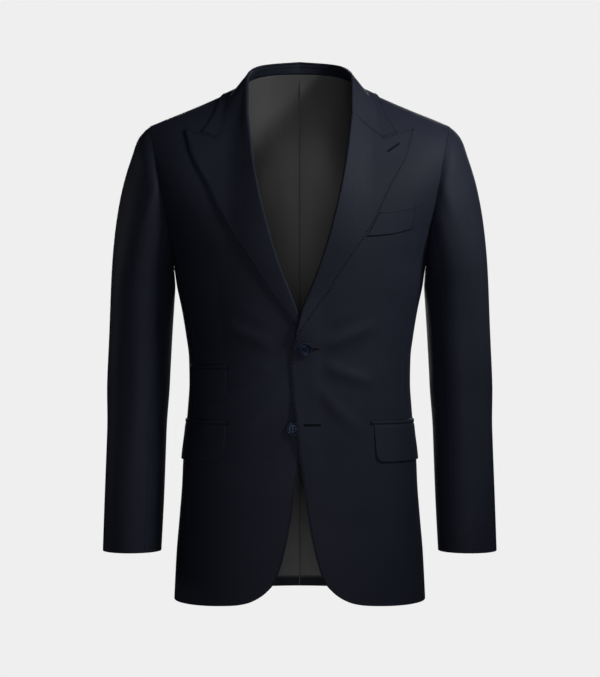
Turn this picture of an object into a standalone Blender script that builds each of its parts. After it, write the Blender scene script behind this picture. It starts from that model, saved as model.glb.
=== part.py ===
"""Single-breasted two-button suit jacket with peak lapels, filled out as if worn.

The frame: +Z up, the front faces -Y, +X is the wearer's left, and the origin is
the centre back neck point, on the inside of the collar seam. Sizes are in
millimetres and turned to metres where each mesh is made.

Every panel is a patch of one body surface. That surface is given by rings at
several heights, and by the shoulder line that the front and the back rise to.
"""

import math

import bmesh
import bpy
import numpy as np
from mathutils import Matrix, Vector

MM = 0.001
SEAM_GAP = 0.3
FRONT, BACK = -1, 1

# Cloth walls
FRONT_WALL = 1.8
BODY_WALL = 1.5
LAPEL_WALL = 1.6
LINING_WALL = 1.0
FLAP_WALL = 1.4
STAND_WALL = 1.6
JET_WALL = 1.0

# Levels and widths of the cut
AXIS_Y = -62.0
HEM_Z = -784.0
SIDE_HEM_Z = -787.5
SHOULDER_TIP_X = 222.0
UNDERARM_Z = -290.0
NECK_SIDE_X = 83.0
SEAM_SHARE = 0.92
RING_POWER = 2.4
CUFF_Z = -714.6
LINING_FOOT_Z = -771.0
BICEPS_Z = -330.0
KNEE_ANGLE = 120.0
KNEE_DROP, KNEE_EASE = 60.0, 110.0

# How finely the panels are divided
SKIRT_ROWS = 18
FRONT_COLUMNS = 12
BACK_COLUMNS = 9
ARMHOLE_STEPS = 24
SEAM_STEP = 8
CAP_ROWS = 6
CAP_SPACING = 1.15
ARM_ROWS = 8
LAPEL_ROWS = 16
LAPEL_COLUMNS = 6
COLLAR_ROWS = 13
COLLAR_COLUMNS = 5
ROLL_STEPS = 3
WELT_ROWS = 4
WELT_COLUMNS = 7
SHARP_ANGLE = 40.0

# Steps for the slopes of a surface, in millimetres and in degrees round a ring
SLOPE_STEP = 0.5
ANGLE_STEP = 0.3
BUTTON_STEP = 6.0
ARM_STEP = 10.0
AXIS_DROP = 40.0
ON_SEAM = 0.5

# Collar and lapel
ROLL_RADIUS = 2.0
LAPEL_ROLL_SHARE = 0.45
LAPEL_LIE = 1.3
COLLAR_LIE = 1.9
STAND_FIRST_ROW = 3
STAND_COLUMNS = 3
BREAK_Z = -394.0
HIDE_DROP, HIDE_EASE, NECK_EASE = 30.0, 22.0, 45.0
COLLAR_END_GAP = 0.5
COLLAR_END_FADE = 0.3
COLLAR_PULL = 0.6
COLLAR_FLARE = 0.015
STAND_PULL = 0.5
ROLL_STEP = 0.02
LIFT_ROUNDS, LIFT_LIMIT = 6, 8.0

# The lap of the wearer's left front over the right one: its height, its reach and its two ends
LAP = {"lift": 2.6, "reach": 34.0, "reach_ease": 18.0, "foot": -640.0, "foot_ease": 60.0,
       "head": -335.0, "head_ease": 30.0}

# The way a sleeve leaves the armhole: outward at the shoulder, forward in front, and down. Its
# head swells a little below the seam, round the top of the arm.
SLEEVE_HEAD = {"out": 0.33, "least_out": 0.02, "forward": 0.3, "down": 0.87, "lean": 0.12,
               "fullness": 0.8, "seam_offset": 0.39, "swell": 3.3, "swell_place": 0.12,
               "swell_width": 0.09, "swell_reach": 100.0, "swell_ease": 60.0}

# Buttons
BUTTON_RADIUS = 10.2
BUTTON_HEIGHT = 3.2
BUTTON_SEAT = 0.9
BUTTON_HOLE_RADIUS = 0.9
BUTTON_HOLE_PLACE = 2.1
BUTTON_HOLE_SIDES = 8
BUTTON_SIDES = 20
MERGE_DISTANCE = 0.0001

COLOURS = {"navy_wool": (0.012, 0.014, 0.022), "grey_lining": (0.026, 0.026, 0.026),
           "navy_button": (0.011, 0.015, 0.028)}
ROUGHNESS = {"navy_wool": 0.75, "grey_lining": 0.5, "navy_button": 0.35}


def table(names, rows):
    """A short table with named columns."""
    return {name: np.array(column, float) for name, column in zip(names.split(), zip(*rows))}


BODY = table("z half_width front back", [
    (-784, 186.5, 138, 112),
    (-717, 183.0, 138, 112),
    (-664, 178.5, 136, 111),
    (-619, 175.0, 134, 108),
    (-574, 173.0, 131, 102),
    (-538, 169.3, 129, 97),
    (-503, 166.3, 127, 91),
    (-467, 164.1, 125, 86),
    (-431, 164.8, 124, 84),
    (-395, 169.3, 126, 86),
    (-359, 175.3, 130, 90),
    (-324, 182.7, 134, 95),
    (-290, 188.0, 138, 100),
    (-250, 202.0, 141, 105),
    (-200, 224.0, 142, 109),
    (-150, 244.0, 139, 110),
    (-100, 262.0, 131, 108),
    (-50, 277.0, 119, 101),
    (0, 288.0, 108, 90),
    (60, 294.0, 100, 80),
])

SHOULDER = table("x z", [
    (0, 60), (40, 50), (62, 25), (75, -5), (83, -25), (100, -33.5), (127, -46),
    (162, -61.2), (199, -76.1), (222, -85.5), (260, -99),
])

ROUNDNESS = table("x front back", [
    (0, 300, 220), (80, 300, 220), (210, 150, 130), (300, 150, 130),
])

ARMHOLE = table("z x", [
    (-290, 188), (-273, 188), (-250, 190), (-229, 193), (-190, 200.5),
    (-159, 206.8), (-120, 214.5), (-90, 221.1), (-85.5, 222),
])

FRONT_EDGE = table("z x", [
    (-768, 52), (-754.7, 38.9), (-736.5, 29.9), (-696.2, 19), (-646.5, 9.9),
    (-606.8, 4.7), (-569.5, -1.1), (-539.7, -3.6), (-515.5, -6), (-502.6, -8.6),
    (-471.3, -11), (-445.6, -13.4), (-419.9, -12.9), (-404.1, -10.7), (-388.4, -4.9),
    (-369.9, 0), (-337.2, 12.4), (-279.1, 34), (-207.9, 53), (-142.4, 65.5),
    (-75, 73.9), (-45, 77.5), (-25, 83),
])

FRONT_HEM = table("x z", [
    (52, -768), (62, -774.5), (76, -780.5), (92, -783.8), (108, -785.3), (140, -787), (165, -787.5),
    (200, -787.5),
])

BACK_NECK = table("x z", [(0, 0), (30, -1), (55, -5), (74, -13), (83, -25)])

LAPEL_EDGE = table("z x", [
    (-398, -4), (-384, 7.5), (-362, 22), (-337, 40.5), (-291.2, 69.6), (-255.4, 93.8),
    (-224.2, 111.8), (-182.9, 131.5), (-136.9, 155.7), (-115, 162.2), (-96.5, 167.5),
])

GORGE = table("share x z", [
    (0, 74.3, -75.5), (0.45, 118.9, -112), (0.73, 143.5, -104.3), (1, 167.5, -96.5),
])

SLEEVE = table("z centre_x half_width centre_y half_depth", [
    (-716, 247.6, 43.2, -28, 48),
    (-628, 244.6, 44.0, -18, 52),
    (-538, 242.2, 44.1, -6, 58),
    (-467, 240.4, 46.7, 3, 64),
    (-395, 237.1, 47.0, 5, 69),
    (-330, 233.6, 47.8, 2, 74),
])

# Soft folds of the fronts: a ridge from one point to another, with its half width and height.
# Each fades in over the first share of its length and out over the last.
FRONT_FOLDS = table("x z end_x end_z half_width height", [
    (24, -419, 126, -376, 12, 2.0),
    (28, -438, 118, -472, 12, 2.0),
    (14, -462, 104, -556, 13, 1.9),
])
FOLD_IN, FOLD_OUT = 0.25, 0.4

# Where the wearer's left front rises further, over the other lapel's foot and over a button
LAP_BUMPS = table("x z half_width half_height height", [
    (-2, -390, 24, 28, 5.8),
    (-6, -530, 19, 34, 5.6),
])

# The fold line of the collar, from the gorge to the centre back, and the way it bulges
COLLAR_ROLL = table("share x y z up_x up_y up_z", [
    (0.00, 75.0, -139, -72, -1.00, -0.05, 0.10),
    (0.12, 75.2, -124, -50, -0.98, -0.05, 0.20),
    (0.24, 75.2, -107, -27, -0.92, -0.05, 0.40),
    (0.36, 73.5, -86, -10, -0.75, 0.00, 0.65),
    (0.50, 69.5, -62, -1, -0.45, -0.10, 0.85),
    (0.64, 61.5, -38, 6.5, -0.25, -0.15, 0.95),
    (0.80, 43.0, -16, 12.5, -0.10, -0.15, 1.00),
    (1.00, 0.0, -3.5, 17.5, 0.00, -0.15, 1.00),
])

LEAF_EDGE = table("share x y z", [
    (0.00, 143.5, -135, -103.5),
    (0.20, 127.0, -112, -76),
    (0.35, 119.0, -84, -56),
    (0.48, 114.5, -58, -43),
    (0.60, 102.0, -30, -39),
    (0.74, 73.0, -5, -36),
    (0.88, 34.0, 12, -34),
    (1.00, 0.0, 16, -33),
])

NECK_SEAM = table("share x y z", [
    (0.24, 77.6, -113, -46),
    (0.34, 79.6, -94, -33),
    (0.45, 82.0, -63, -24),
    (0.58, 74.0, -34, -13),
    (0.72, 55.0, -13, -5),
    (0.86, 30.0, -4, -1),
    (1.00, 0.0, -1, 0),
])

# Pocket flaps and jets: level of the jet's top, start from the centre, and length round the body
HIP_POCKET = {"top": -520.2, "start": 102.0, "length": 150.0, "flap": 54.4}
TICKET_POCKET = {"top": -440.4, "start": 102.0, "length": 92.0, "flap": 45.0}
JET_HEIGHT = 5.2
FLAP_INSET = 4.0
FLAP_CORNER = 13.0
FLAP_LIE = 0.8
FLAP_COLUMNS = 12
FLAP_ROWS = 3
CORNER_STEPS = (2.0, 5.0)
POCKET_END_ANGLE = 150.0
ROUND_STEPS = 400

WELT = table("share left_x left_z right_x right_z", [
    (0, 96.5, -255.2, 162.9, -243.2),
    (1, 115.5, -220.0, 169.5, -209.9),
])

# Half outline of a button, as shares of its radius and height, from the dished face to the back
BUTTON_PROFILE = table("radius height", [
    (0, 0.66), (0.4, 0.68), (0.68, 0.8), (0.82, 1), (0.95, 0.95), (1, 0.7), (0.92, 0.35), (0.6, 0),
    (0, 0),
])

BUTTONS = {"button_top": (6.5, -417.1), "button_lower": (-9.8, -531.0)}


def curve(at, xs, ys):
    """Smooth curve through the points xs, ys that never swings past them."""
    gap = np.diff(xs)
    slope = np.diff(ys) / gap
    product = slope[:-1] * slope[1:]
    total = np.where(product > 0, slope[:-1] + slope[1:], 1.0)
    inner = np.where(product > 0, 2 * product / total, 0.0)
    tangent = np.concatenate([slope[:1], inner, slope[-1:]])
    at = np.clip(at, xs[0], xs[-1])
    i = np.clip(np.searchsorted(xs, at, side="right") - 1, 0, len(xs) - 2)
    t = (at - xs[i]) / gap[i]
    rise = (1 + 2 * t) * (1 - t) ** 2 * ys[i] + t**2 * (3 - 2 * t) * ys[i + 1]
    turn = t * (1 - t) ** 2 * tangent[i] - t**2 * (1 - t) * tangent[i + 1]
    return rise + gap[i] * turn


def ease(value):
    """0 below 0, 1 above 1, and smooth between."""
    t = np.clip(value, 0, 1)
    return t * t * (3 - 2 * t)


def read(columns, name, at, by="z"):
    return curve(at, columns[by], columns[name])


def shoulder_z(x):
    return read(SHOULDER, "z", np.abs(x), by="x")


def depth(x, z, side, share):
    """Distance of the front or back surface from the axis plane."""
    name = "front" if side == FRONT else "back"
    reach = read(BODY, name, z) * share
    fall = (shoulder_z(x) - z) / read(ROUNDNESS, name, np.abs(x), by="x")
    return reach * np.sqrt(1 - (1 - np.clip(fall, 0, 1)) ** 2)


def fold_height(x, z):
    """Height of the soft ridges of the fronts at a point."""
    total = np.zeros(np.broadcast(x, z).shape)
    for x0, z0, x1, z1, half_width, height in zip(*FRONT_FOLDS.values()):
        run = np.array([x1 - x0, z1 - z0])
        share = ((x - x0) * run[0] + (z - z0) * run[1]) / (run @ run)
        off = ((x - x0) * run[1] - (z - z0) * run[0]) / math.hypot(*run)
        ends = ease(share / FOLD_IN) * ease((1 - share) / FOLD_OUT)
        total = total + height * ends * np.exp(-((off / half_width) ** 2))
    return total


def panel_point(x, z, side):
    """A point of the front or back surface above a place in the front view."""
    share = np.clip(1 - (np.abs(x) / read(BODY, "half_width", z)) ** RING_POWER, 0, 1)
    out = depth(x, z, side, share ** (1 / RING_POWER))
    if side == FRONT:
        out = out + fold_height(x, z)
    return np.stack([x, AXIS_Y + side * (SEAM_GAP / 2 + out), z + 0 * x], -1)


def ring_point(angle, z):
    """A point of the body ring at a height: 0 is the centre front, 90 the side, 180 the back."""
    turn = np.radians(angle)
    x = read(BODY, "half_width", z) * np.sin(turn) ** (2 / RING_POWER)
    share = np.abs(np.cos(turn)) ** (2 / RING_POWER)
    ahead = depth(x, z, FRONT, share) + fold_height(x, z)
    behind = depth(x, z, BACK, share)
    return np.stack([x, AXIS_Y + np.where(angle < 90, -ahead, behind), z], -1)


def ring_angle(x, z, side):
    ratio = np.clip(x / read(BODY, "half_width", z), 0, 1)
    turn = np.degrees(np.arcsin(ratio ** (RING_POWER / 2)))
    return turn if side == FRONT else 180 - turn


def unit(vectors):
    return vectors / np.linalg.norm(vectors, axis=-1, keepdims=True)


def outward(surface, a, b, step_a=SLOPE_STEP, step_b=SLOPE_STEP):
    """Unit normals of a surface, away from the body's axis."""
    across = surface(a + step_a, b) - surface(a - step_a, b)
    up = surface(a, b + step_b) - surface(a, b - step_b)
    normal = unit(np.cross(across, up))
    middle = np.array([0, AXIS_Y, 0]) * np.ones_like(normal)
    middle[..., 2] = surface(a, b)[..., 2] - AXIS_DROP
    away = np.sum(normal * (surface(a, b) - middle), -1, keepdims=True)
    return np.where(away < 0, -normal, normal)


def panel_normals(x, z, side):
    """Outward directions of a panel's grid. Along the shoulder seam they stand upright."""
    normal = outward(lambda a, b: panel_point(a, b, side), x, z)
    on_seam = shoulder_z(x) - z < ON_SEAM
    normal[..., 1] = np.where(on_seam, 0, normal[..., 1])
    return unit(normal)


def coons(bottom, top, left, right):
    """Fills four edges that meet at their ends: rows run from bottom to top, columns left to right."""
    u = np.linspace(0, 1, len(bottom))[None, :, None]
    v = np.linspace(0, 1, len(left))[:, None, None]
    ruled = (1 - v) * bottom[None] + v * top[None] + (1 - u) * left[:, None] + u * right[:, None]
    corners = (1 - u) * (1 - v) * bottom[0] + u * (1 - v) * bottom[-1]
    return ruled - corners - (1 - u) * v * top[0] - u * v * top[-1]


def armhole_angles():
    """Places round the armhole: 0 at the shoulder, 90 in front, 180 under the arm."""
    return np.linspace(0, 360, ARMHOLE_STEPS + 1)


def armhole_xz(angle):
    """The armhole seam in the front view."""
    tip_z = shoulder_z(SHOULDER_TIP_X)
    middle, half = (tip_z + UNDERARM_Z) / 2, (tip_z - UNDERARM_Z) / 2
    z = middle + half * np.cos(np.radians(angle))
    return read(ARMHOLE, "x", z), z


def skirt_levels():
    """Heights of the rows between the hem and the foot of the armhole."""
    _, top = armhole_xz(np.array(KNEE_ANGLE))
    return np.linspace(SIDE_HEM_Z, top, SKIRT_ROWS + 1)


def seam_side():
    """The long seam beside the underarm panel, and then the armhole up to the shoulder."""
    levels = skirt_levels()
    seam_x = SEAM_SHARE * read(BODY, "half_width", levels)
    top_x, _ = armhole_xz(np.array(KNEE_ANGLE))
    seam_x = seam_x + (top_x - seam_x[-1]) * ease((levels - UNDERARM_Z + KNEE_DROP) / KNEE_EASE)
    arm_x, arm_z = armhole_xz(armhole_angles()[SEAM_STEP - 1::-1])
    seam = np.stack([seam_x - SEAM_GAP / 2, levels], -1)
    return np.concatenate([seam, np.stack([arm_x, arm_z], -1)])


def front_left_edge(levels):
    """The front's free edge: cutaway, closing edge, and then just behind the lapel's roll."""
    x = read(FRONT_EDGE, "x", levels)
    behind_roll = ROLL_RADIUS + LAPEL_WALL / 2 + 2 * SEAM_GAP
    hidden = ease((levels - BREAK_Z + HIDE_DROP) / HIDE_EASE)
    return x + behind_roll * hidden * ease((FRONT_EDGE["z"][-1] - levels) / NECK_EASE)


def front_grid():
    """Front panel in the front view."""
    right = seam_side()
    share = (right[:, 1] - right[0, 1]) / (right[-1, 1] - right[0, 1])
    foot, neck = FRONT_EDGE["z"][0], FRONT_EDGE["z"][-1]
    levels = foot + (neck - foot) * share
    left_x = front_left_edge(levels)
    left = np.stack([left_x, np.minimum(levels, shoulder_z(left_x))], -1)
    across = np.linspace(0, 1, FRONT_COLUMNS + 1)
    hem_x = left[0, 0] + (right[0, 0] - left[0, 0]) * across
    bottom = np.stack([hem_x, read(FRONT_HEM, "z", hem_x, by="x")], -1)
    top_x = left[-1, 0] + (right[-1, 0] - left[-1, 0]) * across
    top = np.stack([top_x, shoulder_z(top_x)], -1)
    return coons(bottom, top, left, right)


def back_grid():
    """Back panel in the front view, from the centre back seam."""
    right = seam_side()
    share = (right[:, 1] - right[0, 1]) / (right[-1, 1] - right[0, 1])
    left = np.stack([np.full(len(share), SEAM_GAP / 2), HEM_Z * (1 - share)], -1)
    across = np.linspace(0, 1, BACK_COLUMNS + 1)
    hem_x = left[0, 0] + (right[0, 0] - left[0, 0]) * across
    bottom = np.stack([hem_x, HEM_Z + (SIDE_HEM_Z - HEM_Z) * ease(hem_x / hem_x[-1])], -1)
    top_x = left[-1, 0] + (right[-1, 0] - left[-1, 0]) * across
    neck = read(BACK_NECK, "z", top_x, by="x")
    top = np.stack([top_x, np.where(top_x < NECK_SIDE_X, neck, shoulder_z(top_x))], -1)
    return coons(bottom, top, left, right)


def side_grid():
    """Underarm panel by ring angle and height."""
    levels = skirt_levels()
    places = armhole_angles()[SEAM_STEP:2 * SEAM_STEP + 1]
    arm_x, arm_z = armhole_xz(places)
    ahead = ring_angle(arm_x, arm_z, FRONT)
    behind = ring_angle(arm_x, arm_z, BACK)
    top = np.stack([np.where(places <= 180, ahead, behind), arm_z], -1)
    edges = []
    for side, sign in ((FRONT, 1), (BACK, -1)):
        edge = seam_side()[:SKIRT_ROWS + 1]
        angle = ring_angle(edge[:, 0] + SEAM_GAP, edge[:, 1], side)
        edges.append(np.stack([angle, edge[:, 1]], -1))
        edges[-1][-1] = top[0 if side == FRONT else -1]
    left, right = edges
    hem_angles = np.linspace(left[0, 0], right[0, 0], SEAM_STEP + 1)
    hem = np.linspace(left[0, 1], right[0, 1], SEAM_STEP + 1)
    return coons(np.stack([hem_angles, hem], -1), top, left, right)


def lap_lift(x, z):
    """How far the wearer's left front stands off where it laps over the right one."""
    ends = ease((z - LAP["foot"]) / LAP["foot_ease"]) * ease((LAP["head"] - z) / LAP["head_ease"])
    lift = LAP["lift"] * ease((LAP["reach"] - x) / LAP["reach_ease"]) * ends
    for at_x, at_z, half_width, half_height, height in zip(*LAP_BUMPS.values()):
        lift = lift + height * np.exp(-(((x - at_x) / half_width) ** 2) - ((z - at_z) / half_height) ** 2)
    return lift


def clear(objects):
    for obj in objects:
        bpy.data.objects.remove(obj)


def material(name):
    colour = COLOURS[name]
    made = bpy.data.materials.new(name)
    made.use_nodes = True
    shader = made.node_tree.nodes["Principled BSDF"]
    shader.inputs["Base Color"].default_value = (*colour, 1)
    shader.inputs["Roughness"].default_value = ROUGHNESS[name]
    shader.inputs["Metallic"].default_value = 0
    made.diffuse_color = (*colour, 1)
    return made


def add_object(name, mesh, finish, collection):
    obj = bpy.data.objects.new(name, mesh)
    mesh.materials.append(finish)
    collection.objects.link(obj)
    mesh.shade_smooth()
    mesh.set_sharp_from_angle(angle=math.radians(SHARP_ANGLE))
    return obj


def cloth(name, outer, inner, finish, collection, mirrored=False):
    """A closed cloth wall lofted between its outer and inner points."""
    rows, columns = outer.shape[:2]
    points = np.concatenate([outer.reshape(-1, 3), inner.reshape(-1, 3)]) * MM
    if mirrored:
        points[:, 0] *= -1
    index = np.arange(rows * columns).reshape(rows, columns)
    lower = np.stack([index[:-1, :-1], index[:-1, 1:], index[1:, 1:]], -1).reshape(-1, 3)
    upper = np.stack([index[:-1, :-1], index[1:, 1:], index[1:, :-1]], -1).reshape(-1, 3)
    sheet = np.concatenate([lower, upper])
    loop = np.concatenate([index[0, :-1], index[:-1, -1], index[-1, :0:-1], index[:0:-1, 0]])
    following = np.roll(loop, -1)
    far = rows * columns
    rim = np.stack([loop, following, following + far, loop + far], -1)
    faces = sheet.tolist() + (sheet[:, ::-1] + far).tolist() + rim.tolist()
    mesh = bpy.data.meshes.new(name)
    mesh.from_pydata(points.tolist(), [], faces)
    shell = bmesh.new()
    shell.from_mesh(mesh)
    bmesh.ops.recalc_face_normals(shell, faces=shell.faces)
    shell.to_mesh(mesh)
    shell.free()
    return add_object(name, mesh, finish, collection)


def grid_normals(points):
    """Unit normals of a grid of points, by its own rows and columns."""
    up = np.gradient(points, axis=0)
    across = np.gradient(points, axis=1)
    return unit(np.cross(across, up))


def make_fronts(finish, collection):
    grid = front_grid()
    x, z = grid[..., 0], grid[..., 1]
    normal = panel_normals(x, z, FRONT)
    outer = panel_point(x, z, FRONT)
    lift = lap_lift(x, z)[..., None] * normal
    cloth("front_left", outer + lift, outer + lift - FRONT_WALL * normal, finish, collection)
    cloth("front_right", outer, outer - FRONT_WALL * normal, finish, collection, mirrored=True)


def make_backs(finish, lining, collection):
    grid = back_grid()
    x, z = grid[..., 0], grid[..., 1]
    normal = panel_normals(x, z, BACK)
    normal[:, 0, 0] = 0
    normal = unit(normal)
    outer = panel_point(x, z, BACK)
    inner = outer - BODY_WALL * normal
    face = inner - SEAM_GAP * normal
    above_hem = (LINING_FOOT_Z - z[0, 0]) / (z[1, 0] - z[0, 0])
    for rows in (face, normal):
        rows[1] = rows[0] + above_hem * (rows[1] - rows[0])
    covered = (slice(1, -1), slice(0, BACK_COLUMNS - 1))
    for name, mirrored in (("left", False), ("right", True)):
        cloth("back_" + name, outer, inner, finish, collection, mirrored)
        cloth("back_lining_" + name, face[covered], (face - LINING_WALL * normal)[covered],
              lining, collection, mirrored)


def make_sides(finish, collection):
    grid = side_grid()
    angle, z = grid[..., 0], grid[..., 1]
    normal = outward(ring_point, angle, z, step_a=ANGLE_STEP)
    outer = ring_point(angle, z)
    for name, mirrored in (("side_left", False), ("side_right", True)):
        cloth(name, outer, outer - BODY_WALL * normal, finish, collection, mirrored)


def armhole_points():
    """Armhole seam in space, with the body's outward direction at each point."""
    angles = armhole_angles()
    x, z = armhole_xz(angles)
    points, normals = np.empty((len(x), 3)), np.empty((len(x), 3))
    for side, here in ((FRONT, angles <= 180), (BACK, angles > 180)):
        points[here] = panel_point(x[here], z[here], side)
        normals[here] = panel_normals(x[here], z[here], side)
    return points, normals


def sleeve_ring(angles, z):
    """Points round the arm at a height."""
    x = read(SLEEVE, "centre_x", z) + read(SLEEVE, "half_width", z) * np.cos(angles)
    y = read(SLEEVE, "centre_y", z) - read(SLEEVE, "half_depth", z) * np.sin(angles)
    return np.stack([x, AXIS_Y + y, z + 0 * angles], -1)


def bridge(start, leave, end, arrive, across):
    """Smooth curves between two rows of points, with the directions at both ends."""
    ahead = (1 + 2 * across) * (1 - across) ** 2 * start + across**2 * (3 - 2 * across) * end
    return ahead + across * (1 - across) ** 2 * leave - across**2 * (1 - across) * arrive


def sleeve_grid():
    """Outer points of the whole sleeve: columns round the arm, rows from the armhole down."""
    angles = np.radians(armhole_angles())
    seam, _ = armhole_points()
    biceps = sleeve_ring(angles, BICEPS_Z)
    length = np.linalg.norm(biceps - seam, axis=-1, keepdims=True)
    head = SLEEVE_HEAD
    leave = unit(np.stack([
        head["out"] * (1 + np.cos(angles)) + head["least_out"],
        -head["forward"] * np.sin(angles),
        head["lean"] * np.cos(angles) - head["down"],
    ], -1))
    start = seam + np.array([head["seam_offset"], 0, 0])
    down = unit(sleeve_ring(angles, BICEPS_Z - ARM_STEP) - biceps)
    across = np.linspace(0, 1, CAP_ROWS + 1)[:-1] ** CAP_SPACING
    rows = [bridge(start, head["fullness"] * length * leave, biceps, length * down, t) for t in across]
    for z in np.linspace(BICEPS_Z, CUFF_Z, ARM_ROWS + 1):
        rows.append(sleeve_ring(angles, z))
    grid = np.array(rows)
    from_top = np.abs((armhole_angles() + 180) % 360 - 180)
    swell = head["swell"] * np.exp(-(((across[1:] - head["swell_place"]) / head["swell_width"]) ** 2))
    upper = ease((head["swell_reach"] - from_top) / head["swell_ease"])
    grid[1:CAP_ROWS] += (swell[:, None] * upper)[..., None] * grid_normals(grid)[1:CAP_ROWS]
    return grid


def make_sleeves(finish, collection):
    grid = sleeve_grid()
    normal = grid_normals(grid)
    ends = unit(normal[:, 0] + normal[:, -1])
    normal[:, 0] = normal[:, -1] = ends
    normal[0, :, 0] = np.minimum(normal[0, :, 0], 0)
    normal[0] = unit(normal[0])
    around = np.roll(grid[:, :-1], SEAM_STEP, axis=1)
    facing = np.roll(normal[:, :-1], SEAM_STEP, axis=1)
    top = list(range(0, 2 * SEAM_STEP + 1))
    under = list(range(2 * SEAM_STEP, 3 * SEAM_STEP)) + [0]
    for part, columns in (("top", top), ("under", under)):
        outer = around[:, columns].copy()
        inner = outer - BODY_WALL * facing[:, columns]
        for edge, beside in ((0, 1), (-1, -2)):
            inset = unit(outer[:, beside] - outer[:, edge]) * SEAM_GAP / 2
            outer[:, edge] += inset
            inner[:, edge] += inset
        for side, mirrored in (("left", False), ("right", True)):
            cloth(f"{part}_sleeve_{side}", outer, inner, finish, collection, mirrored)


def roll_section(base, along, normal, inner_drop):
    """Points round a fold. It starts level with the panel, bulges against along, and comes back on top."""
    turn = np.linspace(0, math.pi, ROLL_STEPS + 1)[None, :, None]
    centre = base + ROLL_RADIUS * (along + normal) - inner_drop * normal
    spoke = -np.sin(turn) * along[:, None] - np.cos(turn) * normal[:, None]
    return centre[:, None] + ROLL_RADIUS * spoke, spoke


def columns_with(corner, count):
    """Even steps from 0 to 1, moved so that one of them falls on a corner."""
    steps = np.linspace(0, 1, count + 1)
    nearest = steps[np.abs(steps - corner).argmin()]
    return np.interp(steps, (0, nearest, 1), (0, corner, 1))


def lapel_grid():
    """Lapel in the front view, from its roll line out to its edge, and the shares of its columns."""
    levels = np.linspace(0, 1, LAPEL_ROWS + 1)
    roll_z = BREAK_Z + (GORGE["z"][0] - BREAK_Z) * levels
    left = np.stack([read(FRONT_EDGE, "x", roll_z) + LAPEL_WALL / 2, roll_z], -1)
    edge_z = LAPEL_EDGE["z"][0] + (LAPEL_EDGE["z"][-1] - LAPEL_EDGE["z"][0]) * levels
    right = np.stack([read(LAPEL_EDGE, "x", edge_z), edge_z], -1)
    share = columns_with(GORGE["share"][1], LAPEL_COLUMNS)
    top = np.stack([np.interp(share, GORGE["share"], GORGE[axis]) for axis in "xz"], -1)
    top[0], right[-1] = left[-1], top[-1]
    bottom = left[0] + (right[0] - left[0]) * share[:, None]
    return coons(bottom, top, left, right), share


def lapel_leaf(x, z, along, normal, share):
    """Middle of the lapel's wall above places in the front view, between its roll and its edge."""
    drop = FRONT_WALL / 2
    lie = LAPEL_LIE + LAPEL_WALL / 2
    height = lie + (2 * ROLL_RADIUS - drop - lie) * (1 - ease(share / LAPEL_ROLL_SHARE))
    return panel_point(x, z, FRONT) + height * normal + ROLL_RADIUS * along * (1 - share)


def gorge_row(share):
    """The lapel's top edge in space, on the middle of its wall, by the share from its roll."""
    x, z = (np.interp(share, GORGE["share"], GORGE[axis]) for axis in "xz")
    normal = outward(lambda a, b: panel_point(a, b, FRONT), x, z)
    along = unit(panel_point(x, z, FRONT)[0] - panel_point(GORGE["x"][0], GORGE["z"][0], FRONT))
    return lapel_leaf(x, z, along, normal, share[:, None])


def make_lapels(finish, collection):
    grid, share = lapel_grid()
    x, z = grid[..., 0], grid[..., 1]
    normal = outward(lambda a, b: panel_point(a, b, FRONT), x, z)
    flat = panel_point(x, z, FRONT)
    along = unit(flat[:, 1] - flat[:, 0])
    along = unit(along - np.sum(along * normal[:, 0], -1, keepdims=True) * normal[:, 0])
    fold, spoke = roll_section(flat[:, 0], along, normal[:, 0], FRONT_WALL / 2)
    leaf = lapel_leaf(x, z, along[:, None], normal, share[None, :, None])
    middle = np.concatenate([fold, leaf[:, 1:]], axis=1)
    facing = np.concatenate([spoke, normal[:, 1:]], axis=1)
    column = [0] * (ROLL_STEPS + 1) + list(range(1, LAPEL_COLUMNS + 1))
    lap_x, lap_z, lap_normal = x[:, column], z[:, column], normal[:, column]
    outer = middle + facing * LAPEL_WALL / 2
    inner = middle - facing * LAPEL_WALL / 2
    for side, mirrored in (("left", False), ("right", True)):
        lift = 0 if mirrored else lap_lift(lap_x, lap_z)[..., None] * lap_normal
        cloth("lapel_" + side, outer + lift, inner + lift, finish, collection, mirrored)


def along_table(columns, share, names="x y z"):
    """Smooth points along a table that gives x, y and z by share."""
    return np.stack([curve(share, columns["share"], columns[name]) for name in names.split()], -1)


def bury_depth(points):
    """How deep points lie under the front and back surfaces, on a rough scale of millimetres."""
    x, y, z = points[..., 0], points[..., 1], points[..., 2]
    fall = np.clip((shoulder_z(x) - z) / read(ROUNDNESS, "front", np.abs(x), by="x"), -1, 1)
    fall_back = np.clip((shoulder_z(x) - z) / read(ROUNDNESS, "back", np.abs(x), by="x"), -1, 1)
    share = np.clip(1 - (np.abs(x) / read(BODY, "half_width", z)) ** RING_POWER, 0.001, 1)
    width = share ** (1 / RING_POWER)
    ahead = (AXIS_Y - y) / (read(BODY, "front", z) * width)
    behind = (y - AXIS_Y) / (read(BODY, "back", z) * width)
    front = 1 - np.hypot(ahead, 1 - fall)
    back = 1 - np.hypot(behind, 1 - fall_back)
    return np.where(y < AXIS_Y, front, back)


def lift_clear(points, clearance):
    """Moves points out until they stand at least the clearance off the front and back surfaces."""
    step = SLOPE_STEP
    for _ in range(LIFT_ROUNDS):
        value = bury_depth(points)
        slope = np.stack([bury_depth(points + step * axis) - bury_depth(points - step * axis)
                          for axis in np.eye(3)], -1) / (2 * step)
        steep = np.linalg.norm(slope, axis=-1)
        distance = -value / steep
        short = np.clip(clearance - distance, 0, LIFT_LIMIT)
        points = points - (short / steep)[..., None] * slope
    return points


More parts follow.
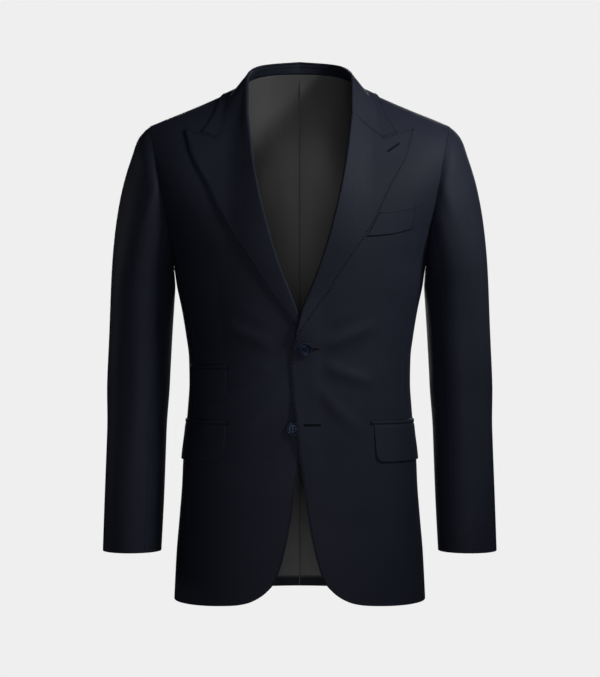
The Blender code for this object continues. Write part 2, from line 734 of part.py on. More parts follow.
def collar_frame(share):
    """Fold line of the collar, with its upward and outward directions."""
    roll = along_table(COLLAR_ROLL, share)
    ahead, behind = (along_table(COLLAR_ROLL, share + step) for step in (ROLL_STEP, -ROLL_STEP))
    run = unit(ahead - behind)
    run[share == 1] = (-1, 0, 0)
    lean = along_table(COLLAR_ROLL, share, "up_x up_y up_z")
    up = unit(lean - np.sum(lean * run, -1, keepdims=True) * run)
    return roll, up, unit(np.cross(run, up))


def both_sides(half):
    """Both sides of rows that are worked out from one end to the centre back."""
    half[-1, :, 0] = 0
    return np.concatenate([half, (half * (-1, 1, 1))[-2::-1]])


def collar_cloth(name, middle, facing, wall, finish, collection):
    """A wall on both sides of the middle surface of the collar or its stand."""
    middle = both_sides(middle)
    facing = unit(both_sides(facing))
    cloth(name, middle + facing * wall / 2, middle - facing * wall / 2, finish, collection)


def make_collar(finish, collection):
    share = np.linspace(0, 1, COLLAR_ROWS + 1)
    roll, up, out = collar_frame(share)
    fold, spoke = roll_section(roll, -up, out, 0)
    corner, collar_end = GORGE["share"][1:3]
    across = columns_with(corner / collar_end, COLLAR_COLUMNS)[1:]
    start, end = fold[:, -1:], along_table(LEAF_EDGE, share)[:, None]
    pull = COLLAR_PULL * np.linalg.norm(end - start, axis=-1, keepdims=True)
    arrive = pull * unit(end * (COLLAR_FLARE, 0, 0) - (0, 0, 1))
    leaf = bridge(start, -pull * up[:, None], end, arrive, across[None, :, None])
    to_gorge = gorge_row(collar_end * across) + (0, 0, COLLAR_END_GAP) - leaf[0]
    leaf = leaf + to_gorge * (1 - ease(share / COLLAR_END_FADE))[:, None, None]
    leaf = lift_clear(leaf, COLLAR_LIE + LAPEL_WALL / 2)
    middle = np.concatenate([fold, leaf], axis=1)
    facing = np.concatenate([spoke, grid_normals(middle)[:, ROLL_STEPS + 1:]], axis=1)
    collar_cloth("collar", middle, facing, LAPEL_WALL, finish, collection)


def make_collar_stand(finish, collection):
    share = np.linspace(0, 1, COLLAR_ROWS + 1)[STAND_FIRST_ROW:]
    roll, up, out = collar_frame(share)
    top = (roll - ROLL_RADIUS * up)[:, None] - (2 * SEAM_GAP * up)[:, None]
    foot = along_table(NECK_SEAM, share)[:, None] + np.array([0, 0, 2 * SEAM_GAP])
    across = np.linspace(0, 1, STAND_COLUMNS + 1)[None, :, None]
    height = np.linalg.norm(top - foot, axis=-1, keepdims=True)
    pull = STAND_PULL * height
    middle = bridge(foot, pull * np.array([0, 0, 1]), top, pull * up[:, None], across)
    facing = grid_normals(middle)
    facing[:, -1] = -out
    collar_cloth("collar_stand", middle, facing, STAND_WALL, finish, collection)


def round_angles(start_x, z, lengths):
    """Ring angles at distances round the body from a place on the front."""
    start = ring_angle(np.array(start_x), np.array(z), FRONT)
    angles = np.linspace(start, POCKET_END_ANGLE, ROUND_STEPS)
    points = ring_point(angles, np.full(ROUND_STEPS, z))
    travelled = np.concatenate([[0], np.cumsum(np.linalg.norm(np.diff(points, axis=0), axis=-1))])
    return np.interp(lengths, travelled, angles)


def patch_on_body(name, angle, z, lie, wall, finish, collection, mirrored):
    """A flat trim that follows the body ring, standing a little off it."""
    outward_way = outward(ring_point, angle, z, step_a=ANGLE_STEP)
    face = ring_point(angle, z) + lie * outward_way
    cloth(name, face + wall * outward_way, face, finish, collection, mirrored)


def make_pocket(name, pocket, side, finish, collection):
    """A jetted pocket with its flap, which hangs from under the jet."""
    along = np.linspace(0, pocket["length"], FLAP_COLUMNS + 1)
    top = pocket["top"]
    jet_z = np.array([top - JET_HEIGHT, top])[:, None] * np.ones_like(along)
    jet_angle = round_angles(pocket["start"], top, along) * np.ones_like(jet_z)
    mirrored = side == "right"
    patch_on_body(f"{name}_jet_{side}", jet_angle, jet_z, FLAP_LIE, JET_WALL, finish, collection, mirrored)
    width = pocket["length"] - 2 * FLAP_INSET
    steps = np.array(CORNER_STEPS)
    place = np.unique(np.concatenate([np.linspace(0, width, FLAP_COLUMNS + 1), steps, width - steps]))
    ends = np.minimum(np.minimum(place, width - place), FLAP_CORNER)
    corner = FLAP_CORNER - np.sqrt(FLAP_CORNER**2 - (FLAP_CORNER - ends) ** 2)
    head = top - JET_HEIGHT - SEAM_GAP
    foot = top - pocket["flap"] - JET_HEIGHT + corner
    down = np.linspace(0, 1, FLAP_ROWS + 1)[:, None]
    z = head + (foot - head) * down
    angle = round_angles(pocket["start"] + FLAP_INSET, top, place) * np.ones_like(z)
    patch_on_body(f"{name}_flap_{side}", angle, z, FLAP_LIE, FLAP_WALL, finish, collection, mirrored)


def make_welt(finish, collection):
    """The breast pocket's welt, on the wearer's left, which ends at the lapel."""
    up = np.linspace(0, 1, WELT_ROWS)[:, None]
    across = np.linspace(0, 1, WELT_COLUMNS)[None]
    left = np.stack([np.interp(up, WELT["share"], WELT["left_" + axis]) for axis in "xz"], -1)
    right = np.stack([np.interp(up, WELT["share"], WELT["right_" + axis]) for axis in "xz"], -1)
    place = left + (right - left) * across[..., None]
    x, z = place[..., 0], place[..., 1]
    normal = panel_normals(x, z, FRONT)
    face = panel_point(x, z, FRONT) + FLAP_LIE * normal
    cloth("chest_welt", face + FLAP_WALL * normal, face, finish, collection)


def button_seat(x, z):
    """Place of a button's back in metres, and the way it faces. One left of the centre lies on the lap."""
    at = np.array([[x]]), np.array([[z]])

    def lift(a, b):
        return lap_lift(a, b)[..., None] if x > 0 else np.zeros(a.shape + (1,))

    def face(a, b):
        return panel_point(a, b, FRONT) + lift(a, b) * np.array([0, FRONT, 0])

    normal = outward(face, *at, step_a=BUTTON_STEP, step_b=BUTTON_STEP)
    seat = panel_point(*at, FRONT) + (lift(*at) + BUTTON_SEAT) * normal
    return seat[0, 0] * MM, Vector(normal[0, 0])


def make_button(name, place, finish, collection, cutters):
    """A dished button with a raised rim and four holes, facing the way the front faces."""
    seat, facing = button_seat(*place)
    turn = Vector((0, 0, 1)).rotation_difference(facing).to_matrix().to_4x4()
    radii, heights = BUTTON_PROFILE["radius"] * BUTTON_RADIUS, BUTTON_PROFILE["height"] * BUTTON_HEIGHT
    outline = np.stack([radii, 0 * radii, heights], -1) * MM
    mesh = bpy.data.meshes.new(name)
    mesh.from_pydata(outline.tolist(), [(i, i + 1) for i in range(len(outline) - 1)], [])
    button = add_object(name, mesh, finish, collection)
    button.matrix_world = Matrix.Translation(seat) @ turn
    turned = button.modifiers.new("turned", "SCREW")
    turned.steps = turned.render_steps = BUTTON_SIDES
    turned.use_merge_vertices = True
    turned.merge_threshold = MERGE_DISTANCE
    drills = bmesh.new()
    for step_x in (-1, 1):
        for step_y in (-1, 1):
            hole = Vector((step_x, step_y, 0)) * BUTTON_HOLE_PLACE * MM
            bmesh.ops.create_cone(drills, cap_ends=True, segments=BUTTON_HOLE_SIDES,
                                  radius1=BUTTON_HOLE_RADIUS * MM, radius2=BUTTON_HOLE_RADIUS * MM,
                                  depth=4 * BUTTON_HEIGHT * MM, matrix=Matrix.Translation(hole))
    drill_mesh = bpy.data.meshes.new(name + "_holes")
    drills.to_mesh(drill_mesh)
    drills.free()
    drill = bpy.data.objects.new(name + "_holes", drill_mesh)
    drill.matrix_world = button.matrix_world
    drill.hide_render = True
    drill.display_type = "WIRE"
    cutters.objects.link(drill)
    cut = button.modifiers.new("holes", "BOOLEAN")
    cut.operation = "DIFFERENCE"
    cut.object = drill


def main():
    clear(list(bpy.data.objects))
    jacket = bpy.data.collections.new("suit_jacket")
    cutters = bpy.data.collections.new("cutters")
    for group in (jacket, cutters):
        bpy.context.scene.collection.children.link(group)
    navy, grey, horn = (material(name) for name in COLOURS)
    make_fronts(navy, jacket)
    make_sides(navy, jacket)
    make_backs(navy, grey, jacket)
    make_sleeves(navy, jacket)
    make_lapels(navy, jacket)
    make_collar(navy, jacket)
    make_collar_stand(navy, jacket)
    for side in ("left", "right"):
        make_pocket("hip", HIP_POCKET, side, navy, jacket)
    make_pocket("ticket", TICKET_POCKET, "right", navy, jacket)
    make_welt(navy, jacket)
    for name, place in BUTTONS.items():
        make_button(name, place, horn, jacket, cutters)


main()
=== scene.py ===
# A two-button suit jacket with peak lapels, filled out as worn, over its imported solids.
# Sizes are in millimetres and turned to metres where a mesh is made.
# +X is the wearer's left, the front faces -Y, and the origin is the centre back neck point.
import math

import bpy
import numpy as np
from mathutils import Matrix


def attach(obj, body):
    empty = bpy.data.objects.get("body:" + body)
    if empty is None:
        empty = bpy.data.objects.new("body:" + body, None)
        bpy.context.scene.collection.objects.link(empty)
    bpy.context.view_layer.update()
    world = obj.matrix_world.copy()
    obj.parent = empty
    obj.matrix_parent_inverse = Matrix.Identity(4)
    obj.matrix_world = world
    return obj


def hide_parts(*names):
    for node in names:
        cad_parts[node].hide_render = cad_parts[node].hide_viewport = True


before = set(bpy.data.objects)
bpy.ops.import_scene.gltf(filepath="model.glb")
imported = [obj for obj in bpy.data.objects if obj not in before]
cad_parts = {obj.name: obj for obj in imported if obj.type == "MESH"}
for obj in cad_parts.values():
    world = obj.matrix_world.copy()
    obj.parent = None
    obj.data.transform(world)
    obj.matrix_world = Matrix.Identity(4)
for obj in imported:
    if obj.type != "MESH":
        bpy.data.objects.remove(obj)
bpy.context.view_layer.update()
print("frame loaded with", len(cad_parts), "solids")

mm = 0.001
mirrorX = np.array([-1, 1, 1])
frontSide, backSide = -1, 1
body = {
    "axisY": -62.0, "hemZ": -784.0, "sideHemZ": -787.5, "tipX": 222.0, "underarmZ": -290.0,
    "neckSideX": 83.0, "seamShare": 0.92, "ringPower": 2.4, "gap": 0.3, "normalDrop": 40,
    "seamEaseZ": -350.0, "seamEase": 110,
}


# A short table with named columns, as one array a column
def tableOf(names, rows):
    return {name: np.array(column, float) for name, column in zip(names.split(), zip(*rows))}


bodyRings = tableOf("z halfWidth front back", [
    (-784, 186.5, 138, 112), (-717, 183.0, 138, 112), (-664, 178.5, 136, 111),
    (-619, 175.0, 134, 108), (-574, 173.0, 131, 102), (-538, 169.3, 129, 97),
    (-503, 166.3, 127, 91), (-467, 164.1, 125, 86), (-431, 164.8, 124, 84),
    (-395, 169.3, 126, 86), (-359, 175.3, 130, 90), (-324, 182.7, 134, 95),
    (-290, 188.0, 138, 100), (-250, 202.0, 141, 105), (-200, 224.0, 142, 109),
    (-150, 244.0, 139, 110), (-100, 262.0, 131, 108), (-50, 277.0, 119, 101),
    (0, 288.0, 108, 90), (60, 294.0, 100, 80),
])
shoulderLine = tableOf("x z", [
    (0, 60), (40, 50), (62, 25), (75, -5), (83, -25), (100, -33.5), (127, -46),
    (162, -61.2), (199, -76.1), (222, -85.5), (260, -99),
])
shoulderRound = tableOf("x front back", [
    (0, 300, 220), (80, 300, 220), (210, 150, 130), (300, 150, 130),
])
armholeSeam = tableOf("z x", [
    (-290, 188), (-273, 188), (-250, 190), (-229, 193), (-190, 200.5),
    (-159, 206.8), (-120, 214.5), (-90, 221.1), (-85.5, 222),
])


# Smooth cubic through the points xs, ys whose slopes are harmonic means, so it never swings past them
def curveThrough(at, xs, ys):
    gap = np.diff(xs)
    slope = np.diff(ys) / gap
    product = slope[:-1] * slope[1:]
    total = np.where(product > 0, slope[:-1] + slope[1:], 1.0)
    tangent = np.concatenate([slope[:1], np.where(product > 0, 2 * product / total, 0), slope[-1:]])
    at = np.clip(at, xs[0], xs[-1])
    i = np.clip(np.searchsorted(xs, at, side="right") - 1, 0, len(xs) - 2)
    t = (at - xs[i]) / gap[i]
    rise = (1 + 2 * t) * (1 - t) ** 2 * ys[i] + t**2 * (3 - 2 * t) * ys[i + 1]
    return rise + gap[i] * (t * (1 - t) ** 2 * tangent[i] - t**2 * (1 - t) * tangent[i + 1])


def readTable(columns, name, at, by="z"):
    return curveThrough(at, columns[by], columns[name])


# 0 below 0, 1 above 1, and three t squared less two t cubed between
def ease(value):
    t = np.clip(value, 0, 1)
    return t * t * (3 - 2 * t)


def unit(vectors):
    return vectors / np.maximum(np.linalg.norm(vectors, axis=-1, keepdims=True), 1e-9)


def shoulderZ(x):
    return readTable(shoulderLine, "z", np.abs(x), "x")


# Drop below the shoulder line as a share of its roundness, the line smoothed out well below it
def shoulderFall(x, z, name):
    reach = readTable(shoulderRound, name, np.abs(x), "x")
    fall = (shoulderZ(x) - z) / reach
    smoothed = sum(shoulderZ(np.abs(x) + step) for step in (-20, -10, 0, 10, 20)) / 5
    return fall + ((smoothed - z) / reach - fall) * ease(fall / 0.3 - 0.1)


# Reach of the ring times the share left across it, closing over the shoulder as a quarter ellipse
def bodyDepth(x, z, side, share):
    name = "front" if side == frontSide else "back"
    fall = shoulderFall(x, z, name)
    return readTable(bodyRings, name, z) * share * np.sqrt(1 - (1 - np.clip(fall, 0, 1)) ** 2)


# Sum of soft ridges, each a bell across its own line that fades in and out along it
def ridges(a, b, columns, strength=1.0):
    total = np.zeros(np.broadcast(a, b).shape)
    for a0, b0, a1, b1, halfWidth, height in zip(*columns.values()):
        run = np.array([a1 - a0, b1 - b0])
        share = ((a - a0) * run[0] + (b - b0) * run[1]) / (run @ run)
        off = ((a - a0) * run[1] - (b - b0) * run[0]) / math.hypot(*run)
        fade = ease(share / 0.3) * ease((1 - share) / 0.4)
        total = total + strength * height * fade * np.exp(-((off / halfWidth) ** 2))
    return total


# Point of the front or back above a place in the front view: a superellipse across, then the ridges
def panelPoint(x, z, side, extra=0.0):
    share = np.clip(1 - (np.abs(x) / readTable(bodyRings, "halfWidth", z)) ** body["ringPower"], 0, 1)
    out = bodyDepth(x, z, side, share ** (1 / body["ringPower"])) + extra
    return np.stack([x, body["axisY"] + side * (body["gap"] / 2 + out), z + 0 * x], -1)


# Point of the ring at a height by angle: 0 is the centre front, 90 the side and 180 the back
def ringPoint(angle, z):
    turn = np.radians(angle)
    power = 2 / body["ringPower"]
    x = readTable(bodyRings, "halfWidth", z) * np.sin(turn) ** power
    share = np.abs(np.cos(turn)) ** power
    reach = np.where(angle < 90, -bodyDepth(x, z, frontSide, share), bodyDepth(x, z, backSide, share))
    return np.stack([x, body["axisY"] + reach, z + 0 * x], -1)


def ringAngle(x, z, side):
    ratio = np.clip(x / readTable(bodyRings, "halfWidth", z), 0, 1)
    turn = np.degrees(np.arcsin(ratio ** (body["ringPower"] / 2)))
    return turn if side == frontSide else 180 - turn


# Unit normals from small steps both ways, turned away from the body's axis
def outwardNormals(surface, a, b, stepA=0.5, stepB=0.5):
    across = surface(a + stepA, b) - surface(a - stepA, b)
    up = surface(a, b + stepB) - surface(a, b - stepB)
    normal = unit(np.cross(across, up))
    here = surface(a, b)
    middle = np.array([0, body["axisY"], 0]) * np.ones_like(here)
    middle[..., 2] = here[..., 2] - body["normalDrop"]
    away = np.sum(normal * (here - middle), -1, keepdims=True)
    return np.where(away < 0, -normal, normal)


# Outward directions of a panel. Along the shoulder seam they stand upright, so both panels agree.
def panelNormals(x, z, side):
    normal = outwardNormals(lambda a, b: panelPoint(a, b, side), x, z)
    blend = ease((shoulderZ(x) - z) / 3)
    normal[..., 1] *= blend
    return unit(normal)


# Cell edges from 0 to 1: an even step, with finer ones given in millimetres from both ends
def spread(length, step, fineStart, fineEnd, inner=()):
    even = np.linspace(0, length, max(2, round(length / step)) + 1)
    clear = (even > fineStart[-1] + step / 2) & (even < length - fineEnd[-1] - step / 2)
    for place in inner:
        clear &= (even < place[0] - step / 2) | (even > place[-1] + step / 2)
    parts = [np.array(fineStart), even[clear], length - np.array(fineEnd)[::-1]]
    return np.sort(np.concatenate(parts + [np.array(p) for p in inner])) / length


# Fine cells in from a rounded edge, and in from a seam
edgeSteps = [0, 0.1, 0.35, 0.8, 1.4, 2.2]
seamSteps = [0, 0.2, 0.6, 1.2]


# Fills four edges: the two ruled surfaces added, less the one through the corners
def edgePatch(bottom, top, left, right, u, v):
    u, v = u[..., None], v[:, None, None]
    ruled = (1 - v) * bottom + v * top + (1 - u) * left[:, None] + u * right[:, None]
    corners = (1 - u) * (1 - v) * left[0] + u * (1 - v) * right[0]
    return ruled - corners - (1 - u) * v * left[-1] - u * v * right[-1]


# Distance along a line of points from its first one
def runAlong(line):
    return np.concatenate([[0], np.cumsum(np.linalg.norm(np.diff(line, axis=0), axis=-1))])


# Every column of a table of points, read off at places along it
def readAlong(at, run, points):
    return np.stack([np.interp(at, run, column) for column in points.T], -1)


# Distances along the rows and the columns of a grid of points, from its first edges
def gridRuns(points):
    across = np.linalg.norm(np.diff(points, axis=1), axis=-1)
    down = np.linalg.norm(np.diff(points, axis=0), axis=-1)
    across = np.concatenate([np.zeros((len(points), 1)), np.cumsum(across, 1)], 1)
    down = np.concatenate([np.zeros((1, points.shape[1])), np.cumsum(down, 0)], 0)
    return across, down


# Normals of a grid of points: rows' direction crossed with columns'
def gridNormals(points):
    return unit(np.cross(np.gradient(points, axis=1), np.gradient(points, axis=0)))


# Half the wall, full inside and falling round each edge as a quarter circle of its own radius
def roundedHalf(points, wall, radii):
    across, down = gridRuns(points)
    insets = (across, across[:, -1:] - across, down, down[-1:] - down)
    half = np.full(across.shape, wall / 2)
    for inset, radius in zip(insets, radii):
        near = np.clip(inset / radius, 0, 1)
        half = np.minimum(half, wall / 2 * np.sqrt(1 - (1 - near) ** 2))
    return half


# Faces with four corners between an index grid and the same grid one column on
def quadsBetween(index, following, flipped=False):
    quads = np.stack([index[:-1], following[:-1], following[1:], index[1:]], -1).reshape(-1, 4)
    return quads[:, [0, 3, 2, 1]] if flipped else quads


# Mesh from whole arrays of points and of faces with three or four corners
def buildMesh(name, points, faceSets, uvs=None):
    mesh = bpy.data.meshes.new(name)
    corners = np.concatenate([faces.ravel() for faces in faceSets])
    totals = np.concatenate([np.full(len(faces), faces.shape[1]) for faces in faceSets])
    mesh.vertices.add(len(points))
    mesh.vertices.foreach_set("co", (points * mm).astype(np.float32).ravel())
    mesh.loops.add(len(corners))
    mesh.loops.foreach_set("vertex_index", corners.astype(np.int32))
    mesh.polygons.add(len(totals))
    mesh.polygons.foreach_set("loop_start", (np.cumsum(totals) - totals).astype(np.int32))
    mesh.polygons.foreach_set("use_smooth", np.ones(len(totals), bool))
    mesh.update(calc_edges=True)
    for layer, values in (uvs or {}).items():
        uv = mesh.uv_layers.new(name=layer)
        uv.data.foreach_set("uv", (values[corners] * mm).astype(np.float32).ravel())
    mesh.validate()
    return mesh


# Adds a piece that rides on the body, in place of CAD nodes, with the given finish
def addPiece(name, mesh, finish, nodes=()):
    piece = bpy.data.objects.new(name, mesh)
    bpy.context.scene.collection.objects.link(piece)
    mesh.materials.append(finish)
    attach(piece, "root")
    if nodes:
        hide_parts(*nodes)
    return piece


# Closed cloth: the middle surface moved half a wall both ways, its rims rounded. Both faces share the
# points of the rim. The face that shows comes back, before any mirroring.
def clothPiece(name, middle, facing, spec, mirrored=False, run=None, half=None):
    half = roundedHalf(middle, spec["wall"], spec["rims"]) if half is None else half
    rows, columns = middle.shape[:2]
    outer = np.arange(rows * columns).reshape(rows, columns)
    inner = outer.copy()
    hidden = np.arange((rows - 2) * (columns - 2)).reshape(rows - 2, columns - 2)
    inner[1:-1, 1:-1] = rows * columns + hidden
    face = middle + facing * half[..., None]
    under = middle - facing * half[..., None]
    points = np.concatenate([face.reshape(-1, 3), under[1:-1, 1:-1].reshape(-1, 3)])
    quads = [quadsBetween(grid[:, :-1], grid[:, 1:]) for grid in (outer, inner)]
    turn = np.cross(face[1:, 1:] - face[:-1, :-1], face[1:, :-1] - face[:-1, 1:])
    backwards = 0 if np.sum(turn * facing[:-1, :-1]) < 0 else 1
    quads[backwards] = quads[backwards][:, ::-1]
    across, down = gridRuns(middle)
    grain = np.stack([across + middle[:, :1, 0], down + middle[:1, :, 2]], -1)
    edge = grain if run is None else run
    both = [np.concatenate([uv.reshape(-1, 2), uv[1:-1, 1:-1].reshape(-1, 2)]) for uv in (grain, edge)]
    if mirrored:
        points = points * mirrorX
        quads = [quad[:, ::-1] for quad in quads]
    mesh = buildMesh(name, points, quads, {"grain": both[0], "edge": both[1]})
    piece = addPiece(name, mesh, spec["finish"], spec["nodes"])
    return face


# Tubes along many paths at once. A path has a row of points, and each end closes on a pole.
def tubeMesh(paths, upward, radius, sides=5):
    count, steps = paths.shape[:2]
    tangent = unit(np.gradient(paths, axis=1))
    sideways = unit(np.cross(tangent, upward[:, None]))
    upright = np.cross(sideways, tangent)
    turn = np.linspace(0, 2 * math.pi, sides, endpoint=False)[:, None]
    ring = np.cos(turn) * sideways[:, :, None] + np.sin(turn) * upright[:, :, None]
    swell = np.sin(np.linspace(0.18, 0.82, steps) * math.pi)[None, :, None, None] ** 0.5
    tube = paths[:, :, None] + radius * swell * ring
    first = paths[:, 0] - tangent[:, 0] * radius * 0.6
    last = paths[:, -1] + tangent[:, -1] * radius * 0.6
    points = np.concatenate([tube.reshape(count, -1, 3), first[:, None], last[:, None]], 1)
    index = np.arange(steps * sides).reshape(steps, sides)
    following = np.roll(index, -1, 1)
    quads = quadsBetween(index, following)
    start = np.stack([following[0], index[0], np.full(sides, steps * sides)], -1)
    end = np.stack([index[-1], following[-1], np.full(sides, steps * sides + 1)], -1)
    base = np.arange(count)[:, None, None] * points.shape[1]
    fans = np.concatenate([start, end])[None] + base
    return points.reshape(-1, 3), (quads[None] + base).reshape(-1, 4), fans.reshape(-1, 3)


# One piece from many sets of tubes, each with its points, four-cornered faces and fans
def joinTubes(name, sets, finish):
    points, quads, fans, offset = [], [], [], 0
    for one, two, three in sets:
        points.append(one)
        quads.append(two + offset)
        fans.append(three + offset)
        offset += len(one)
    mesh = buildMesh(name, np.concatenate(points), [np.concatenate(quads), np.concatenate(fans)])
    addPiece(name, mesh, finish)


# sRGB hex to the linear colour of a shader socket
def hexColour(code):
    values = np.array([int(code[i:i + 2], 16) for i in (1, 3, 5)]) / 255
    linear = np.where(values <= 0.04045, values / 12.92, ((values + 0.055) / 1.055) ** 2.4)
    return (*linear.tolist(), 1.0)


# Feeds sockets of a node from others, by the first output where only a node is given
def feed(node, sources):
    for key, source in sources.items():
        socket = source if isinstance(source, bpy.types.NodeSocket) else source.outputs[0]
        node.id_data.links.new(socket, node.inputs[key])


# Adds a node: settings are its properties or its sockets' values, and the sources feed its sockets
def addNode(tree, kind, settings=None, sources=None):
    node = tree.nodes.new("ShaderNode" + kind)
    for key, value in (settings or {}).items():
        if isinstance(key, str) and hasattr(node, key):
            setattr(node, key, value)
        else:
            node.inputs[key].default_value = value
    feed(node, sources or {})
    return node


def newMaterial(name, shaderValues):
    made = bpy.data.materials.new(name)
    made.use_nodes = True
    shader = made.node_tree.nodes["Principled BSDF"]
    for key, value in shaderValues.items():
        shader.inputs[key].default_value = value
    return made, made.node_tree, shader


# Settings of a wave texture with sine bands a given number of millimetres apart
def sineBands(spacing, direction="X"):
    return {"wave_type": "BANDS", "bands_direction": direction, "wave_profile": "SIN",
            "Scale": 0.1 * math.pi / (spacing * mm)}


# Worsted wool, a fine twill woven from combed yarn and pressed: nearly black navy, a dry surface
# with a low silky gleam at the turn of each fold, and ribs that climb to the right
wool = {
    "dark": "#161822", "light": "#262935", "roughness": 0.62, "specular": 0.1,
    "sheen": 0.03, "sheenTint": "#8d9ab8", "ribSpacing": 0.9, "ribTurn": -27, "pickShare": 1.7,
    "fibreScale": 900.0, "cloudScale": 14.0, "weaveDepth": 0.12, "stitchSpacing": 4.6, "stitchInset": 2.0,
    "stitchReach": 1.1, "stitchDepth": 0.5,
}


# The ribs' real spacing is near 0.4 mm. They are drawn at 0.9 mm, the finest that close views show.
def makeWool():
    made, tree, shader = newMaterial("worstedWoolTwill", {
        "Roughness": wool["roughness"], "Sheen Weight": wool["sheen"], "Sheen Roughness": 0.45,
        "Sheen Tint": hexColour(wool["sheenTint"]), "Specular IOR Level": wool["specular"], "IOR": 1.5,
    })
    grain = addNode(tree, "UVMap", {"uv_map": "grain"})
    turn = (0, 0, math.radians(wool["ribTurn"]))
    turned = addNode(tree, "Mapping", {"Rotation": turn}, {"Vector": grain})
    ribs = addNode(tree, "TexWave", {
        **sineBands(wool["ribSpacing"]), "Distortion": 0.6, "Detail": 1.0, "Detail Scale": 2.0,
    }, {"Vector": turned})
    picks = addNode(tree, "TexWave", {
        **sineBands(wool["ribSpacing"] / wool["pickShare"], "Y"), "Distortion": 0.8,
    }, {"Vector": grain})
    fibre = addNode(tree, "TexNoise", {
        "Scale": wool["fibreScale"], "Detail": 3.0, "Roughness": 0.6,
    }, {"Vector": grain})
    place = addNode(tree, "TexCoord").outputs["Object"]
    cloud = addNode(tree, "TexNoise", {
        "Scale": wool["cloudScale"], "Detail": 3.0, "Roughness": 0.55,
    }, {"Vector": place})
    weave = addNode(tree, "Math", {"operation": "MULTIPLY_ADD", 1: 0.35},
                    {0: picks.outputs["Fac"], 2: ribs.outputs["Fac"]})
    height = addNode(tree, "Math", {"operation": "MULTIPLY_ADD", 1: 0.5},
                     {0: fibre.outputs["Fac"], 2: weave})
    shade = addNode(tree, "Math", {"operation": "MULTIPLY_ADD", 1: 0.45, "use_clamp": True},
                    {0: height, 2: cloud.outputs["Fac"]})
    tones = addNode(tree, "Mix", {
        "data_type": "RGBA", 6: hexColour(wool["dark"]), 7: hexColour(wool["light"]),
    }, {0: shade})
    # Dimples of the pick stitches: half of one plus a cosine along the edge, times a bell across it
    edge = addNode(tree, "UVMap", {"uv_map": "edge"})
    apart = addNode(tree, "SeparateXYZ", {}, {"Vector": edge})
    along = ({"operation": "MULTIPLY", 1: 2 * math.pi / (wool["stitchSpacing"] * mm)},
             {"operation": "COSINE"}, {"operation": "MULTIPLY_ADD", 1: 0.5, 2: 0.5})
    across = ({"operation": "SUBTRACT", 1: wool["stitchInset"] * mm}, {"operation": "POWER", 1: 2.0},
              {"operation": "MULTIPLY", 1: -1 / (wool["stitchReach"] * mm) ** 2},
              {"operation": "EXPONENT"})
    ends = []
    for source, steps in ((apart.outputs["X"], along), (apart.outputs["Y"], across)):
        for settings in steps:
            source = addNode(tree, "Math", settings, {0: source})
        ends.append(source)
    pucker = addNode(tree, "Math", {"operation": "MULTIPLY"}, {0: ends[1], 1: ends[0]})
    sunk = addNode(tree, "Math", {"operation": "MULTIPLY", 1: -1.0}, {0: pucker})
    deep = addNode(tree, "Bump", {"Strength": 0.9, "Distance": wool["stitchDepth"] * mm}, {"Height": sunk})
    fine = addNode(tree, "Bump", {"Strength": 0.35, "Distance": wool["weaveDepth"] * mm},
                   {"Height": height, "Normal": deep})
    feed(shader, {"Base Color": tones.outputs[2], "Normal": fine})
    return made


# Cupro satin lining, woven from smooth filament yarn: charcoal with a soft band of light down it
lining = {
    "dark": "#525252", "light": "#5e5e5e", "roughness": 0.5, "threadSpacing": 0.7, "slubScale": 520.0,
    "slubStretch": 0.06, "weaveDepth": 0.08,
}


def makeLining():
    made, tree, shader = newMaterial("cuproSatinLining", {
        "Roughness": lining["roughness"], "Specular IOR Level": 0.45, "Sheen Weight": 0.08,
        "Sheen Roughness": 0.3,
    })
    grain = addNode(tree, "UVMap", {"uv_map": "grain"})
    stretched = addNode(tree, "Mapping", {"Scale": (1, lining["slubStretch"], 1)}, {"Vector": grain})
    slubs = addNode(tree, "TexNoise", {
        "Scale": lining["slubScale"], "Detail": 3.0, "Roughness": 0.6,
    }, {"Vector": stretched}).outputs["Fac"]
    threads = addNode(tree, "TexWave", {
        **sineBands(lining["threadSpacing"]), "Distortion": 0.4,
    }, {"Vector": grain}).outputs["Fac"]
    tones = addNode(tree, "Mix", {
        "data_type": "RGBA", 6: hexColour(lining["dark"]), 7: hexColour(lining["light"]),
    }, {0: slubs})
    height = addNode(tree, "Math", {"operation": "MULTIPLY_ADD", 1: 0.6}, {0: slubs, 2: threads})
    bump = addNode(tree, "Bump", {"Strength": 0.25, "Distance": lining["weaveDepth"] * mm},
                   {"Height": height})
    feed(shader, {"Base Color": tones.outputs[2], "Normal": bump})
    return made


# Polyester resin buttons, cast in layers and turned: slate navy with pearly streaks and a soft gleam
resin = {
    "dark": "#0f1420", "light": "#29344c", "tint": "#b8c6ea", "specular": 0.22, "roughness": 0.3,
    "streakSize": 6.0, "streakFrom": 0.42, "streakTo": 0.72,
}


def makeResin():
    made, tree, shader = newMaterial("polishedResinButton", {
        "Roughness": resin["roughness"], "Specular IOR Level": resin["specular"],
        "Specular Tint": hexColour(resin["tint"]),
    })
    place = addNode(tree, "TexCoord").outputs["Object"]
    streaks = addNode(tree, "TexNoise", {
        "Scale": 1 / (resin["streakSize"] * mm), "Detail": 4.0, "Roughness": 0.6, "Distortion": 1.4,
    }, {"Vector": place})
    tones = addNode(tree, "ValToRGB", {}, {"Fac": streaks.outputs["Fac"]})
    low, high = tones.color_ramp.elements
    low.position, low.color = resin["streakFrom"], hexColour(resin["dark"])
    high.position, high.color = resin["streakTo"], hexColour(resin["light"])
    feed(shader, {"Base Color": tones})
    return made


